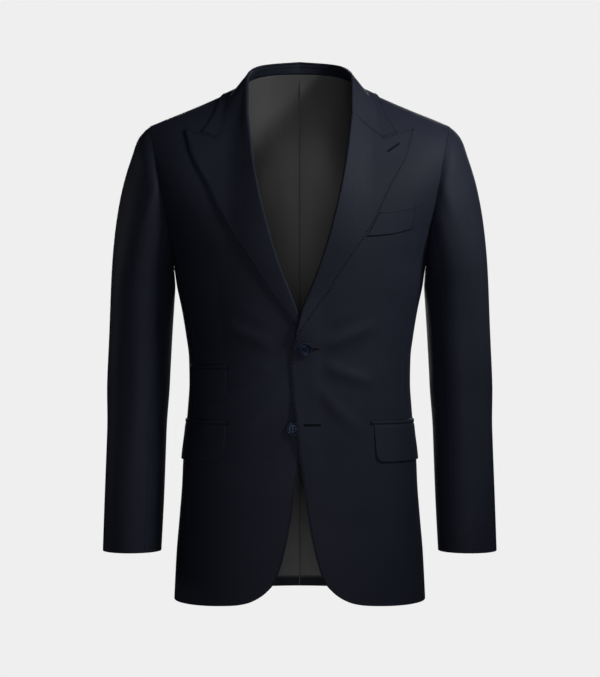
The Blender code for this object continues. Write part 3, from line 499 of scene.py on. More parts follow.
# Silk buttonhole twist, spun from long filaments and dyed deep: dark, dry, with a fine grain of plies
def makeThread(name, dark, light):
    made, tree, shader = newMaterial(name, {"Roughness": 0.6, "Specular IOR Level": 0.1})
    place = addNode(tree, "TexCoord").outputs["Object"]
    plies = addNode(tree, "TexNoise", {"Scale": 2200.0, "Detail": 2.0}, {"Vector": place}).outputs["Fac"]
    tones = addNode(tree, "Mix", {
        "data_type": "RGBA", 6: hexColour(dark), 7: hexColour(light),
    }, {0: plies})
    bump = addNode(tree, "Bump", {"Strength": 0.4, "Distance": 0.1 * mm}, {"Height": plies})
    feed(shader, {"Base Color": tones.outputs[2], "Normal": bump})
    return made


woolFinish = makeWool()
liningFinish = makeLining()
resinFinish = makeResin()
sewingThread = makeThread("navySilkTwist", "#020305", "#07090e")
lapelThread = makeThread("tealSilkTwist", "#08121a", "#101f2a")
print("materials made")


# The armhole by angle in the front view: 0 at the shoulder, 90 in front, 180 under the arm
def armholeXz(angle):
    tip = shoulderZ(np.array(body["tipX"]))
    z = (tip + body["underarmZ"]) / 2 + (tip - body["underarmZ"]) / 2 * np.cos(np.radians(angle))
    return readTable(armholeSeam, "x", z), z


seamAngle = 120.0  # where the long seam meets the armhole, round it
seamKnee = 18 / 26  # share of the seam's cells below that


# Long seam beside the underarm panel, straight up to the armhole, then the armhole to the shoulder
def seamSide(v):
    kneeX, kneeZ = armholeXz(np.array(seamAngle))
    z = body["sideHemZ"] + (kneeZ - body["sideHemZ"]) * np.clip(v / seamKnee, 0, 1)
    x = body["seamShare"] * readTable(bodyRings, "halfWidth", z)
    endX = body["seamShare"] * readTable(bodyRings, "halfWidth", kneeZ)
    x = x + (kneeX - endX) * ease((z - body["seamEaseZ"]) / body["seamEase"])
    armX, armZ = armholeXz(seamAngle * (1 - np.clip((v - seamKnee) / (1 - seamKnee), 0, 1)))
    return np.stack([np.where(v > seamKnee, armX, x), np.where(v > seamKnee, armZ, z)], -1)


# Heights of a free edge that is matched, share for share, to the long seam
def matchedShare(right):
    return (right[:, 1] - right[0, 1]) / (right[-1, 1] - right[0, 1])


frontEdge = tableOf("z x", [
    (-768, 52), (-754.7, 38.9), (-736.5, 29.9), (-696.2, 19), (-646.5, 9.9), (-606.8, 4.7),
    (-569.5, -1.1), (-539.7, -3.6), (-515.5, -6), (-502.6, -8.6), (-471.3, -11), (-445.6, -13.4),
    (-419.9, -12.9), (-404.1, -10.7), (-388.4, -4.9), (-369.9, 0), (-337.2, 12.4), (-279.1, 34),
    (-207.9, 53), (-142.4, 65.5), (-75, 73.9), (-45, 77.5), (-25, 83),
])
frontHem = tableOf("x z", [
    (52, -768), (62, -774.5), (76, -780.5), (92, -783.8), (108, -785.3), (140, -787),
    (165, -787.5), (200, -787.5),
])
frontFolds = tableOf("x z endX endZ halfWidth height", [
    (24, -419, 126, -376, 10, 3.4),
    (28, -438, 118, -472, 10, 3.6),
    (14, -462, 104, -556, 11, 3.2),
    (40, -385, 96, -352, 9, 1.2),
    (10, -560, 60, -650, 22, 1.2),
])
lapBumps = tableOf("x z halfWidth halfHeight height", [(-2, -390, 24, 28, 5.8), (-6, -530, 19, 34, 5.6)])
lap = {"lift": 2.6, "edgeX": 34, "edgeFade": 18, "footZ": -640, "footFade": 60, "topZ": -335, "topFade": 30}
frontPanel = {
    "wall": 1.8, "rims": (0.95, 0.7, 1.0, 0.7), "breakZ": -394.0, "rollRadius": 2.0, "lapelWall": 1.6,
    "height": 770, "width": 160.0, "rowStep": 3.4, "columnStep": 2.4, "farInset": 50,
    "hideBelow": 30, "hideFade": 22, "hideTop": 45, "dartDepth": 0.7, "dartWidth": 0.9,
    "dartShare": 0.62, "dartFade": 25, "dartCells": (0.5, 1.2, 2.2), "hollowDepth": 0.5,
    "hollowWidth": 9, "flat": (0.235, 0.775), "area": 0.118, "held": "hung", "finish": woolFinish,
    "left": {"strength": 1.0, "dart": tableOf("z x", [(-505.2, 109.2), (-372.7, 112.3), (-290, 119)])},
    "right": {"strength": 0.5, "dart": tableOf("z x", [(-432.4, 108.4), (-356.5, 116.3), (-302, 121.1)])},
}


# How far the wearer's left front stands off: the lap over the other front, and two soft bumps
def lapLift(x, z):
    lift = lap["lift"] * ease((lap["edgeX"] - x) / lap["edgeFade"])
    lift = lift * ease((z - lap["footZ"]) / lap["footFade"]) * ease((lap["topZ"] - z) / lap["topFade"])
    for atX, atZ, halfWidth, halfHeight, height in zip(*lapBumps.values()):
        lift = lift + height * np.exp(-(((x - atX) / halfWidth) ** 2) - ((z - atZ) / halfHeight) ** 2)
    return lift


# Points and outward directions of a front: the patch of its cut, laid on the body. Its edge is
# hidden behind the roll of the lapel, and its columns crowd at the dart.
def frontSurface(side):
    spec = frontPanel[side]
    v = spread(frontPanel["height"], frontPanel["rowStep"], edgeSteps, seamSteps)
    right = seamSide(v)
    share = matchedShare(right)
    levels = frontEdge["z"][0] + (frontEdge["z"][-1] - frontEdge["z"][0]) * share
    behind = frontPanel["rollRadius"] + frontPanel["lapelWall"] / 2 + 2 * body["gap"]
    hide = ease((levels - frontPanel["breakZ"] + frontPanel["hideBelow"]) / frontPanel["hideFade"])
    hide = hide * ease((frontEdge["z"][-1] - levels) / frontPanel["hideTop"])
    leftX = readTable(frontEdge, "x", levels) + behind * hide
    left = np.stack([leftX, np.minimum(levels, shoulderZ(leftX))], -1)
    cells = np.array(frontPanel["dartCells"])
    fine = frontPanel["dartShare"] * frontPanel["width"] + np.concatenate([-cells[::-1], [0], cells])
    u = spread(frontPanel["width"], frontPanel["columnStep"], edgeSteps + [3.2], seamSteps, [fine])
    dartX = readTable(spec["dart"], "x", levels)
    dartU = ((dartX - left[:, 0]) / (right[:, 0] - left[:, 0]))[:, None]
    kneeU = frontPanel["dartShare"]
    warped = np.where(u <= kneeU, dartU * u / kneeU, dartU + (1 - dartU) * (u - kneeU) / (1 - kneeU))
    hemX = left[0, 0] + (right[0, 0] - left[0, 0]) * warped
    bottom = np.stack([hemX, readTable(frontHem, "z", hemX, "x")], -1)
    topX = left[-1, 0] + (right[-1, 0] - left[-1, 0]) * warped
    top = np.stack([topX, shoulderZ(topX)], -1)
    flat = edgePatch(bottom, top, left, right, warped, v)
    x, z = flat[..., 0], flat[..., 1]
    z = np.minimum(z, shoulderZ(x))
    normal = panelNormals(x, z, frontSide)
    off = x - readTable(spec["dart"], "x", z)
    ends = spec["dart"]["z"]
    along = ease((z - ends[0]) / frontPanel["dartFade"]) * ease((ends[-1] - z) / frontPanel["dartFade"])
    groove = -frontPanel["dartDepth"] * along * np.exp(-((off / frontPanel["dartWidth"]) ** 2))
    groove = groove - frontPanel["hollowDepth"] * along * np.exp(-((off / frontPanel["hollowWidth"]) ** 2))
    extra = ridges(x, z, frontFolds, spec["strength"]) + groove
    points = panelPoint(x, z, frontSide, extra)
    if side == "left":
        points = points + lapLift(x, z)[..., None] * normal
    return points, normal


def makeFronts():
    surfaces = {}
    for side in ("left", "right"):
        points, normal = frontSurface(side)
        own = gridNormals(points)
        facing = unit(0.5 * normal + 0.5 * np.sign(np.sum(own * normal)) * own)
        facing[:, [0, -1]], facing[[0, -1]] = normal[:, [0, -1]], normal[[0, -1]]
        middle = points - normal * frontPanel["wall"] / 2
        across, down = gridRuns(middle)
        # Above the break the edge has no pick stitches, so it counts as far away
        free = middle[:, :1, 2] < frontPanel["breakZ"] - 4
        run = np.stack([down, np.where(free, across, frontPanel["farInset"])], -1)
        spec = {**frontPanel, "nodes": ["front_" + side], "restsOn": ["side_" + side, "back_" + side]}
        clothPiece("frontPanel" + side.capitalize(), middle, facing, spec, side == "right", run)
        surfaces[side] = (points, normal)
    return surfaces


fronts = makeFronts()
print("fronts made")

backNeck = tableOf("x z", [(0, 0), (30, -1), (55, -5), (74, -13), (83, -25)])
backFolds = tableOf("x z endX endZ halfWidth height", [
    (150, -250, 120, -420, 16, 2.0),
    (60, -360, 110, -520, 20, 1.6),
    (128, -470, 150, -640, 18, 1.5),
    (40, -90, 130, -130, 18, 1.0),
])
backPanel = {
    "wall": 1.5, "rims": (0.7, 0.7, 0.9, 0.7), "height": 780, "width": 178, "rowStep": 3.8,
    "columnStep": 3.0, "seamX": 0.02, "strength": {"left": 1.0, "right": 0.8},
    "flat": (0.225, 0.80), "area": 0.150, "held": "hung", "finish": woolFinish,
}


# The back's cut in the front view, from the centre seam to the long seam, laid on the body
def backSurface(strength):
    v = spread(backPanel["height"], backPanel["rowStep"], edgeSteps, seamSteps)
    u = spread(backPanel["width"], backPanel["columnStep"], seamSteps, seamSteps)
    right = seamSide(v)
    share = matchedShare(right)
    left = np.stack([np.full(len(share), backPanel["seamX"]), body["hemZ"] * (1 - share)], -1)
    hemX = left[0, 0] + (right[0, 0] - left[0, 0]) * u
    hem = body["hemZ"] + (body["sideHemZ"] - body["hemZ"]) * ease(hemX / hemX[-1])
    bottom = np.stack([hemX, hem], -1)
    topX = left[-1, 0] + (right[-1, 0] - left[-1, 0]) * u
    neck = readTable(backNeck, "z", topX, "x")
    top = np.stack([topX, np.where(topX < body["neckSideX"], neck, shoulderZ(topX))], -1)
    flat = edgePatch(bottom, top, left, right, u, v)
    x, z = flat[..., 0], flat[..., 1]
    normal = panelNormals(x, z, backSide)
    normal[:, 0, 0] = 0
    normal = unit(normal)
    return panelPoint(x, z, backSide, ridges(x, z, backFolds, strength)), normal


def makeBacks():
    for side in ("left", "right"):
        points, normal = backSurface(backPanel["strength"][side])
        middle = points - normal * backPanel["wall"] / 2
        spec = {**backPanel, "nodes": ["back_" + side], "restsOn": ["side_" + side, "collar_stand"]}
        clothPiece("backPanel" + side.capitalize(), middle, normal, spec, side == "right")


makeBacks()
print("backs made")

sidePanel = {
    "wall": 1.5, "rims": (0.7, 0.7, 0.9, 0.7), "height": 545, "width": 130, "rowStep": 4.0,
    "columnStep": 3.0, "flat": (0.155, 0.56), "area": 0.068, "held": "hung", "finish": woolFinish,
}


# Underarm panel: a patch in ring angle and height between the two long seams
def makeSides():
    v = spread(sidePanel["height"], sidePanel["rowStep"], edgeSteps, seamSteps)
    u = spread(sidePanel["width"], sidePanel["columnStep"], seamSteps, seamSteps)
    x, z = seamSide(v * seamKnee).T
    edges = [np.stack([ringAngle(x, z, side), z], -1) for side in (frontSide, backSide)]
    places = seamAngle + (360 - 2 * seamAngle) * u
    armX, armZ = armholeXz(places)
    ahead, behind = ringAngle(armX, armZ, frontSide), ringAngle(armX, armZ, backSide)
    top = np.stack([np.where(places <= 180, ahead, behind), armZ], -1)
    edges[0][-1], edges[1][-1] = top[0], top[-1]
    bottom = edges[0][0] + (edges[1][0] - edges[0][0]) * u[:, None]
    flat = edgePatch(bottom, top, edges[0], edges[1], np.broadcast_to(u, (len(v), len(u))), v)
    angle, z = flat[..., 0], flat[..., 1]
    normal = outwardNormals(ringPoint, angle, z, stepA=0.3)
    middle = ringPoint(angle, z) - normal * sidePanel["wall"] / 2
    for side in ("left", "right"):
        spec = {**sidePanel, "nodes": ["side_" + side], "restsOn": ["front_" + side, "back_" + side]}
        clothPiece("underarmPanel" + side.capitalize(), middle, normal, spec, side == "right")


makeSides()
print("underarm panels made")

sleeveRings = tableOf("z centreX halfWidth centreY halfDepth", [
    (-716, 247.6, 43.2, -28, 48), (-628, 244.6, 44.0, -18, 52), (-538, 242.2, 44.1, -6, 58),
    (-467, 240.4, 46.7, 3, 64), (-395, 237.1, 47.0, 5, 69), (-330, 233.6, 47.8, 2, 74),
])
sleeve = {
    "wall": 1.5, "rims": (0.7, 0.7, 0.8, 0.95), "bicepsZ": -330.0, "cuffZ": -714.6,
    "capLength": 230, "capRows": 54, "capCrowding": 1.15, "rowStep": 3.6, "columnStep": 3.2,
    "ropeHeight": 3.3, "ropePlace": 0.12, "ropeWidth": 0.09, "ropeReach": 100, "ropeFade": 60, "cuffFade": 30,
    "held": "hung", "finish": woolFinish,
    "top": {"flat": (0.27, 0.66), "area": 0.126, "from": -120.0, "to": 120.0, "girth": 300},
    "under": {"flat": (0.135, 0.47), "area": 0.052, "from": 120.0, "to": 240.0, "girth": 140},
}
# Ridges by angle round the arm and height: a long one down the front of the head, the others
# across the crook of the elbow and down the forearm
sleeveFolds = tableOf("angle z endAngle endZ halfWidth height", [
    (78, -110, 84, -250, 8, 2.2),
    (40, -260, 60, -520, 20, 2.2),
    (-40, -150, -62, -330, 14, 2.0),
    (140, -380, 70, -455, 15, 1.8),
    (136, -450, 74, -512, 14, 1.5),
    (30, -500, 62, -700, 18, 1.8),
    (-60, -420, -20, -610, 18, 2.0),
])
foldStretch = 0.25  # degrees that a millimetre down the sleeve counts for in a ridge
headSteps = [0, 0.25, 0.7, 1.4, 2.4, 3.6, 5]
sleeveAxisX = 235.0


def sleeveRing(angle, z):
    centreX, halfWidth, centreY, halfDepth = (
        readTable(sleeveRings, name, z) for name in ("centreX", "halfWidth", "centreY", "halfDepth"))
    return np.stack([
        centreX + halfWidth * np.cos(angle),
        body["axisY"] + centreY - halfDepth * np.sin(angle),
        z + 0 * angle], -1)


# Rows from the armhole down: a cubic from the seam to the biceps ring, then the arm's rings
def sleeveSurface(degrees):
    angle = np.radians(degrees)
    turn = np.mod(degrees, 360)
    x, z = armholeXz(turn)
    seam = np.where((turn <= 180)[:, None], panelPoint(x, z, frontSide), panelPoint(x, z, backSide))
    biceps = sleeveRing(angle, np.array(sleeve["bicepsZ"]))
    length = np.linalg.norm(biceps - seam, axis=-1, keepdims=True)
    # The cap leaves the seam downwards, further out at the shoulder and forwards at the front
    leave = unit(np.stack([
        0.33 * (1 + np.cos(angle)) + 0.02, -0.3 * np.sin(angle), -0.87 + 0.12 * np.cos(angle)], -1))
    down = unit(sleeveRing(angle, np.array(sleeve["bicepsZ"] - 10)) - biceps)
    even = spread(sleeve["capLength"], sleeve["capLength"] / sleeve["capRows"], headSteps, [0])[:-1]
    t = even[:, None, None] ** sleeve["capCrowding"]
    cap = (1 + 2 * t) * (1 - t) ** 2 * (seam + [0.05, 0, 0]) + t**2 * (3 - 2 * t) * biceps
    cap = cap + length * (0.8 * t * (1 - t) ** 2 * leave - t**2 * (1 - t) * down)
    armLength = sleeve["bicepsZ"] - sleeve["cuffZ"]
    levels = sleeve["bicepsZ"] - armLength * spread(armLength, sleeve["rowStep"], [0], edgeSteps)
    arm = sleeveRing(angle[None], levels[:, None])
    points = np.concatenate([cap, arm])
    normal = gridNormals(points)
    centres = np.mean(points, 1)
    centres[:, 0] = sleeveAxisX
    outside = np.sum(normal * (points - centres[:, None]), (0, 1)).sum()
    normal = normal if outside > 0 else -normal
    normal[0, :, 0] = np.minimum(normal[0, :, 0], 0)
    normal[0] = unit(normal[0])
    headRun = np.concatenate([t[:, 0, 0], np.ones(len(levels))])[:, None]
    upper = ease((sleeve["ropeReach"] - np.abs(degrees)) / sleeve["ropeFade"])
    past = (headRun - sleeve["ropePlace"]) / sleeve["ropeWidth"]
    rope = sleeve["ropeHeight"] * upper * np.exp(-(past**2))
    shrunk = {name: sleeveFolds[name] * foldStretch for name in ("z", "endZ")}
    z = points[..., 2]
    folds = ridges(degrees[None] + 0 * z, z * foldStretch, {**sleeveFolds, **shrunk})
    inside = ease(headRun / sleeve["ropePlace"]) * ease((z - sleeve["cuffZ"]) / sleeve["cuffFade"])
    return points + normal * (rope * ease(headRun / 0.05) + folds * inside)[..., None], normal


def makeSleeves():
    for part in ("top", "under"):
        spec = {**sleeve, **sleeve[part]}
        share = spread(spec["girth"], sleeve["columnStep"], seamSteps, seamSteps)
        points, normal = sleeveSurface(spec["from"] + (spec["to"] - spec["from"]) * share)
        middle = points - normal * sleeve["wall"] / 2
        for side in ("left", "right"):
            spec["nodes"] = [f"{part}_sleeve_{side}"]
            spec["restsOn"] = ["front_" + side, "back_" + side]
            clothPiece(part + "Sleeve" + side.capitalize(), middle, normal, spec, side == "right")


makeSleeves()
print("sleeves made")

lapelEdge = tableOf("z x", [
    (-398, -4), (-384, 7.5), (-362, 22), (-337, 40.5), (-291.2, 69.6), (-255.4, 93.8),
    (-224.2, 111.8), (-182.9, 131.5), (-136.9, 155.7), (-115, 162.2), (-96.5, 167.5),
])
gorge = tableOf("share x z", [
    (0, 74.3, -75.5), (0.45, 118.9, -112), (0.73, 143.5, -104.3), (1, 167.5, -96.5),
])
lapel = {
    "wall": 1.6, "rims": (0.5, 0.9, 0.9, 0.6), "lie": 1.3, "rollRadius": 2.0, "rollSteps": 10,
    "height": 325, "width": 70, "rowStep": 2.4, "columnStep": 1.8, "farInset": 99,
    "flat": (0.105, 0.34), "area": 0.0175, "held": "folded", "finish": woolFinish,
}


# Points round a fold of a given radius, from level with the panel, out against along, and back on top
def rollSection(base, along, normal, innerDrop, radius, steps):
    turn = np.linspace(0, math.pi, steps + 1)[None, :, None]
    centre = base + radius * (along + normal) - innerDrop * normal
    spoke = -np.sin(turn) * along[:, None] - np.cos(turn) * normal[:, None]
    return centre[:, None] + radius * spoke, spoke


# Shares across the lapel, which the end of the collar takes too
def lapelColumns():
    corner = gorge["share"][1] * lapel["width"]
    return spread(lapel["width"], lapel["columnStep"], [0], edgeSteps, [[corner]])


# Lapel: its cut in the front view between the roll line and the edge, folded back on the front
def lapelSurface():
    v = spread(lapel["height"], lapel["rowStep"], edgeSteps, edgeSteps)
    u = lapelColumns()
    rollZ = frontPanel["breakZ"] + (gorge["z"][0] - frontPanel["breakZ"]) * v
    left = np.stack([readTable(frontEdge, "x", rollZ) + lapel["wall"] / 2, rollZ], -1)
    edgeZ = lapelEdge["z"][0] + (lapelEdge["z"][-1] - lapelEdge["z"][0]) * v
    right = np.stack([readTable(lapelEdge, "x", edgeZ), edgeZ], -1)
    top = np.stack([np.interp(u, gorge["share"], gorge[axis]) for axis in "xz"], -1)
    top[0], right[-1] = left[-1], top[-1]
    bottom = left[0] + (right[0] - left[0]) * u[:, None]
    flat = edgePatch(bottom, top, left, right, np.broadcast_to(u, (len(v), len(u))), v)
    x, z = flat[..., 0], flat[..., 1]
    normal = outwardNormals(lambda a, b: panelPoint(a, b, frontSide), x, z)
    base = panelPoint(x, z, frontSide)
    along = unit(base[:, 1] - base[:, 0])
    along = unit(along - np.sum(along * normal[:, 0], -1, keepdims=True) * normal[:, 0])
    drop, radius = frontPanel["wall"] / 2, lapel["rollRadius"]
    fold, spoke = rollSection(base[:, 0], along, normal[:, 0], drop, radius, lapel["rollSteps"])
    share = u[None, :, None]
    lie = lapel["lie"] + lapel["wall"] / 2
    height = lie + (2 * radius - drop - lie) * (1 - ease(share / 0.95))
    leaf = base + height * normal + radius * along[:, None] * (1 - share)
    middle = np.concatenate([fold, leaf[:, 1:]], 1)
    facing = np.concatenate([spoke, normal[:, 1:]], 1)
    column = [0] * (lapel["rollSteps"] + 1) + list(range(1, len(u)))
    return middle, facing, lapLift(x, z)[:, column, None] * normal[:, column]


def makeLapels():
    middle, facing, lift = lapelSurface()
    half = roundedHalf(middle, lapel["wall"], lapel["rims"])
    surfaces = {}
    for side in ("left", "right"):
        here = middle + lift if side == "left" else middle
        across, down = gridRuns(here)
        insetTop = np.where(here[..., 0] > gorge["x"][1], down[-1:] - down, lapel["farInset"])
        insetEdge = across[:, -1:] - across
        nearTop = insetTop < insetEdge
        run = np.stack([np.where(nearTop, across, down), np.where(nearTop, insetTop, insetEdge)], -1)
        spec = {**lapel, "nodes": ["lapel_" + side], "restsOn": ["front_" + side]}
        face = clothPiece("lapel" + side.capitalize(), here, facing, spec, side == "right", run, half)
        surfaces[side] = (face, facing)
    return surfaces


lapels = makeLapels()
print("lapels made")

collarRoll = tableOf("share x y z upX upY upZ", [
    (0.00, 75.0, -139, -72, -1.00, -0.05, 0.10), (0.12, 75.2, -124, -50, -0.98, -0.05, 0.20),
    (0.24, 75.2, -107, -27, -0.92, -0.05, 0.40), (0.36, 72.8, -86, -11.5, -0.50, 0.00, 0.80),
    (0.50, 70.0, -62, -4, -0.20, -0.10, 0.95), (0.64, 61.5, -38, 5.5, -0.20, -0.15, 0.97),
    (0.80, 43.0, -16, 12.5, -0.10, -0.15, 1.00), (1.00, 0.0, -3.5, 17.5, 0.00, -0.15, 1.00),
])
leafEdge = tableOf("share x y z", [
    (0.00, 143.5, -135, -103.5), (0.20, 126.0, -112, -76), (0.35, 115.5, -84, -56),
    (0.48, 110.0, -58, -43), (0.60, 98.0, -30, -39), (0.74, 73.0, -5, -36),
    (0.88, 34.0, 12, -34), (1.00, 0.0, 16, -33),
])
neckSeam = tableOf("share x y z", [
    (0.24, 77.6, -113, -46), (0.34, 79.6, -94, -33), (0.45, 82.0, -63, -24), (0.58, 74.0, -34, -13),
    (0.72, 55.0, -13, -5), (0.86, 30.0, -4, -1), (1.00, 0.0, -1, 0),
])
collar = {
    "wall": 1.5, "rims": (0.5, 0.9, 0.6, 0.6), "lie": 0.5, "rollRadius": 2.0, "rollSteps": 10,
    "length": 225, "depth": 48, "rowStep": 2.6, "columnStep": 1.8, "gorgeGap": 0.3, "gorgeFade": 0.3,
    "tight": 0.5, "tightTo": 0.55, "tightFade": 0.25, "reach": 0.6, "lieFade": 0.12, "facingFade": 0.05,
    "flat": (0.46, 0.075), "area": 0.0235, "held": "folded", "finish": woolFinish,
    "nodes": ["collar"], "restsOn": ["collar_stand", "back_left", "back_right"],
}
stand = {
    "wall": 1.6, "rims": (0.6, 0.6, 0.8, 0.8), "firstShare": 3 / 13, "length": 170, "height": 22,
    "columns": 14, "seamAt": 12.7, "seamDepth": 0.5, "seamWidth": 0.6,
    "flat": (0.36, 0.035), "area": 0.0068, "held": "folded", "finish": woolFinish,
    "nodes": ["collar_stand"], "restsOn": ["back_left", "back_right"],
}


def alongTable(columns, share, names="x y z"):
    return np.stack([curveThrough(share, columns["share"], columns[name]) for name in names.split()], -1)


# How deep points lie under the front and back: one less the length in the body's own ellipses
def buryDepth(points):
    x, y, z = points[..., 0], points[..., 1], points[..., 2]
    share = np.clip(1 - (np.abs(x) / readTable(bodyRings, "halfWidth", z)) ** body["ringPower"], 0.001, 1)
    width = share ** (1 / body["ringPower"])
    fall = [np.clip(shoulderFall(x, z, name), -1, 1) for name in ("front", "back")]
    front = 1 - np.hypot((body["axisY"] - y) / (readTable(bodyRings, "front", z) * width), 1 - fall[0])
    back = 1 - np.hypot((y - body["axisY"]) / (readTable(bodyRings, "back", z) * width), 1 - fall[1])
    return np.where(y < body["axisY"], front, back)


# Moves points out, up the slope of that depth, until they clear the body
def liftClear(points, clearance):
    for _ in range(6):
        value = buryDepth(points)
        steps = [(points + 0.5 * axis, points - 0.5 * axis) for axis in np.eye(3)]
        slope = np.stack([buryDepth(ahead) - buryDepth(behind) for ahead, behind in steps], -1)
        steep = np.linalg.norm(slope, axis=-1)
        short = np.clip(clearance + value / steep, 0, 8)
        points = points - (short / steep)[..., None] * slope
    return points


# Fold line of the collar, with its upward and outward directions
def collarFrame(share):
    roll = alongTable(collarRoll, share)
    run = unit(alongTable(collarRoll, share + 0.02) - alongTable(collarRoll, share - 0.02))
    run[share == 1] = (-1, 0, 0)
    lean = alongTable(collarRoll, share, "upX upY upZ")
    up = unit(lean - np.sum(lean * run, -1, keepdims=True) * run)
    return roll, up, unit(np.cross(run, up))


# Cubic curves between two rows of points, with the directions at both ends
def bridgeRows(start, leave, end, arrive, t):
    ahead = (1 + 2 * t) * (1 - t) ** 2 * start + t**2 * (3 - 2 * t) * end
    return ahead + t * (1 - t) ** 2 * leave - t**2 * (1 - t) * arrive


# Rows from one end to the centre back, and the same rows mirrored back to the other end
def bothSides(half):
    half = half.copy()
    half[-1, :, 0] = 0
    return np.concatenate([half, (half * mirrorX)[-2::-1]])


# The lapel's top row at the collar's own columns: the same turn of the fold, then the leaf as far as
# the collar reaches along the gorge
def gorgeRow(t):
    middle, facing, _ = lapelSurface()
    fold = lapel["rollSteps"] + 1
    u = lapelColumns()[1:]
    rows = []
    for values in (middle[-1], facing[-1]):
        leaf = readAlong(gorge["share"][2] * t, u, values[fold:])
        rows.append(np.concatenate([values[:fold], leaf]))
    return rows


def makeCollar():
    share = spread(collar["length"], collar["rowStep"], edgeSteps, [0])
    roll, up, out = collarFrame(share)
    fold, spoke = rollSection(roll, -up, out, 0, collar["rollRadius"], collar["rollSteps"])
    corner = gorge["share"][1] / gorge["share"][2] * collar["depth"]
    across = spread(collar["depth"], collar["columnStep"], [0], edgeSteps, [[corner]])[1:]
    start, end = fold[:, -1:], alongTable(leafEdge, share)[:, None]
    length = np.linalg.norm(end - start, axis=-1, keepdims=True)
    chord = unit(end - start)
    tight = collar["tight"] * (1 - ease((share - collar["tightTo"]) / collar["tightFade"]))[:, None, None]
    hanging = unit(end * (0.015, 0, 0) - (0, 0, 1))
    arrive = collar["reach"] * length * unit((1 - tight) * hanging + tight * chord)
    leave = collar["reach"] * length * unit((1 - tight) * -up[:, None] + tight * chord)
    leaf = bridgeRows(start, leave, end, arrive, across[None, :, None])
    middle = np.concatenate([fold, leaf], 1)
    seam, seamFacing = gorgeRow(across)
    near = (1 - ease(share / collar["gorgeFade"]))[:, None, None]
    middle = middle + near * (seam + (0, 0, collar["gorgeGap"]) - middle[0])
    first = collar["rollSteps"] + 1
    lie = lapel["lie"] + (collar["lie"] - lapel["lie"]) * ease(share / collar["lieFade"])[:, None]
    middle[:, first:] = liftClear(middle[:, first:], lie + collar["wall"] / 2)
    facing = np.concatenate([spoke, gridNormals(middle)[:, first:]], 1)
    atEnd = (1 - ease(share / collar["facingFade"]))[:, None, None]
    facing = unit(facing + atEnd * (seamFacing - facing[0]))
    middle, facing = bothSides(middle), unit(bothSides(facing))
    acrossRun, down = gridRuns(middle)
    endInset = np.minimum(down, down[-1:] - down)
    leafInset = acrossRun[:, -1:] - acrossRun
    nearEnd = endInset < leafInset
    run = np.stack([np.where(nearEnd, acrossRun, down), np.where(nearEnd, endInset, leafInset)], -1)
    return clothPiece("collarLeaf", middle, facing, collar, run=run), facing


# Stand: cubic curves from the neck seam up to the fold line, with the seam of its lining sunk in
def makeStand():
    first, depth, seamAt = stand["firstShare"], stand["height"], stand["seamAt"]
    share = first + (1 - first) * spread(stand["length"], collar["rowStep"], edgeSteps, [0])
    roll, up, out = collarFrame(share)
    top = (roll - (collar["rollRadius"] + 2 * body["gap"]) * up)[:, None]
    foot = alongTable(neckSeam, share)[:, None] + np.array([0, 0, 2 * body["gap"]])
    ditch = [seamAt - 0.5, seamAt, seamAt + 0.5]
    across = spread(depth, depth / stand["columns"], edgeSteps[:4], edgeSteps[:4], [ditch])[None, :, None]
    height = np.linalg.norm(top - foot, axis=-1, keepdims=True)
    upright = np.array([0, 0, 1])
    middle = bridgeRows(foot, 0.5 * height * upright, top, 0.5 * height * up[:, None], across)
    facing = gridNormals(middle)
    facing[:, -1] = -out
    groove = -stand["seamDepth"] * np.exp(-(((across * depth - seamAt) / stand["seamWidth"]) ** 2))
    inward = facing * np.sign(-np.sum(facing * out[:, None], -1, keepdims=True))
    middle = middle + groove * inward
    clothPiece("collarStand", bothSides(middle), unit(bothSides(facing)), stand)


collarFace = makeCollar()
makeStand()
print("collar made")

liningSheet = {
    "wall": 0.6, "rims": (0.3, 0.3, 0.5, 0.3), "gap": 0.4, "footZ": -771.0, "footRows": 6,
    "topRows": 2, "sideColumns": 3, "pleatWidth": 9.0, "pleatHeight": 1.5, "pleatFold": 0.8,
    "waveTopZ": -25, "waveTopFade": 120, "waveFootFade": 60,
    "flat": (0.37, 0.79), "area": 0.24, "held": "hung", "finish": liningFinish,
    "nodes": ["back_lining_left", "back_lining_right"], "restsOn": ["back_left", "back_right"],
}


# Lining of the whole back: the back's own surface moved in, with a pleat at the centre and soft waves
def makeLiningSheet():
    points, normal = backSurface(0.0)
    kept = slice(None, -liningSheet["topRows"]), slice(None, -liningSheet["sideColumns"])
    points, normal = points[kept], normal[kept]
    foot = liningSheet["footRows"]
    gone = (liningSheet["footZ"] - points[0, :, 2]) / (points[foot, :, 2] - points[0, :, 2])
    hem = points[0] + gone[:, None] * (points[foot] - points[0])
    points = np.concatenate([hem[None], points[foot + 1:]])
    normal = normal[foot:]
    points = np.concatenate([(points * mirrorX)[:, :0:-1], points], 1)
    normal = np.concatenate([(normal * mirrorX)[:, :0:-1], normal], 1)
    x, z = points[..., 0], points[..., 2]
    pleat = np.clip(1 - x / liningSheet["pleatWidth"], 0, 1)
    pleat = liningSheet["pleatHeight"] * ease(x / liningSheet["pleatFold"] + 0.5) * pleat
    fade = ease((liningSheet["waveTopZ"] - z) / liningSheet["waveTopFade"])
    fade = fade * ease((z - liningSheet["footZ"]) / liningSheet["waveFootFade"])
    # Two sets of waves across it, 97 and 55 mm apart, that wander on the way down
    waves = 0.9 + 0.6 * np.sin(x / 15.5 + 0.8 * np.sin(z / 130)) + 0.4 * np.sin(x / 8.7 + z / 210 + 1.0)
    away = backPanel["wall"] + liningSheet["gap"] + liningSheet["wall"] / 2
    away = away + pleat * ease((-5 - z) / 20) + waves * fade
    middle = points - normal * away[..., None]
    clothPiece("backLining", middle, -normal, liningSheet)


makeLiningSheet()
print("lining made")

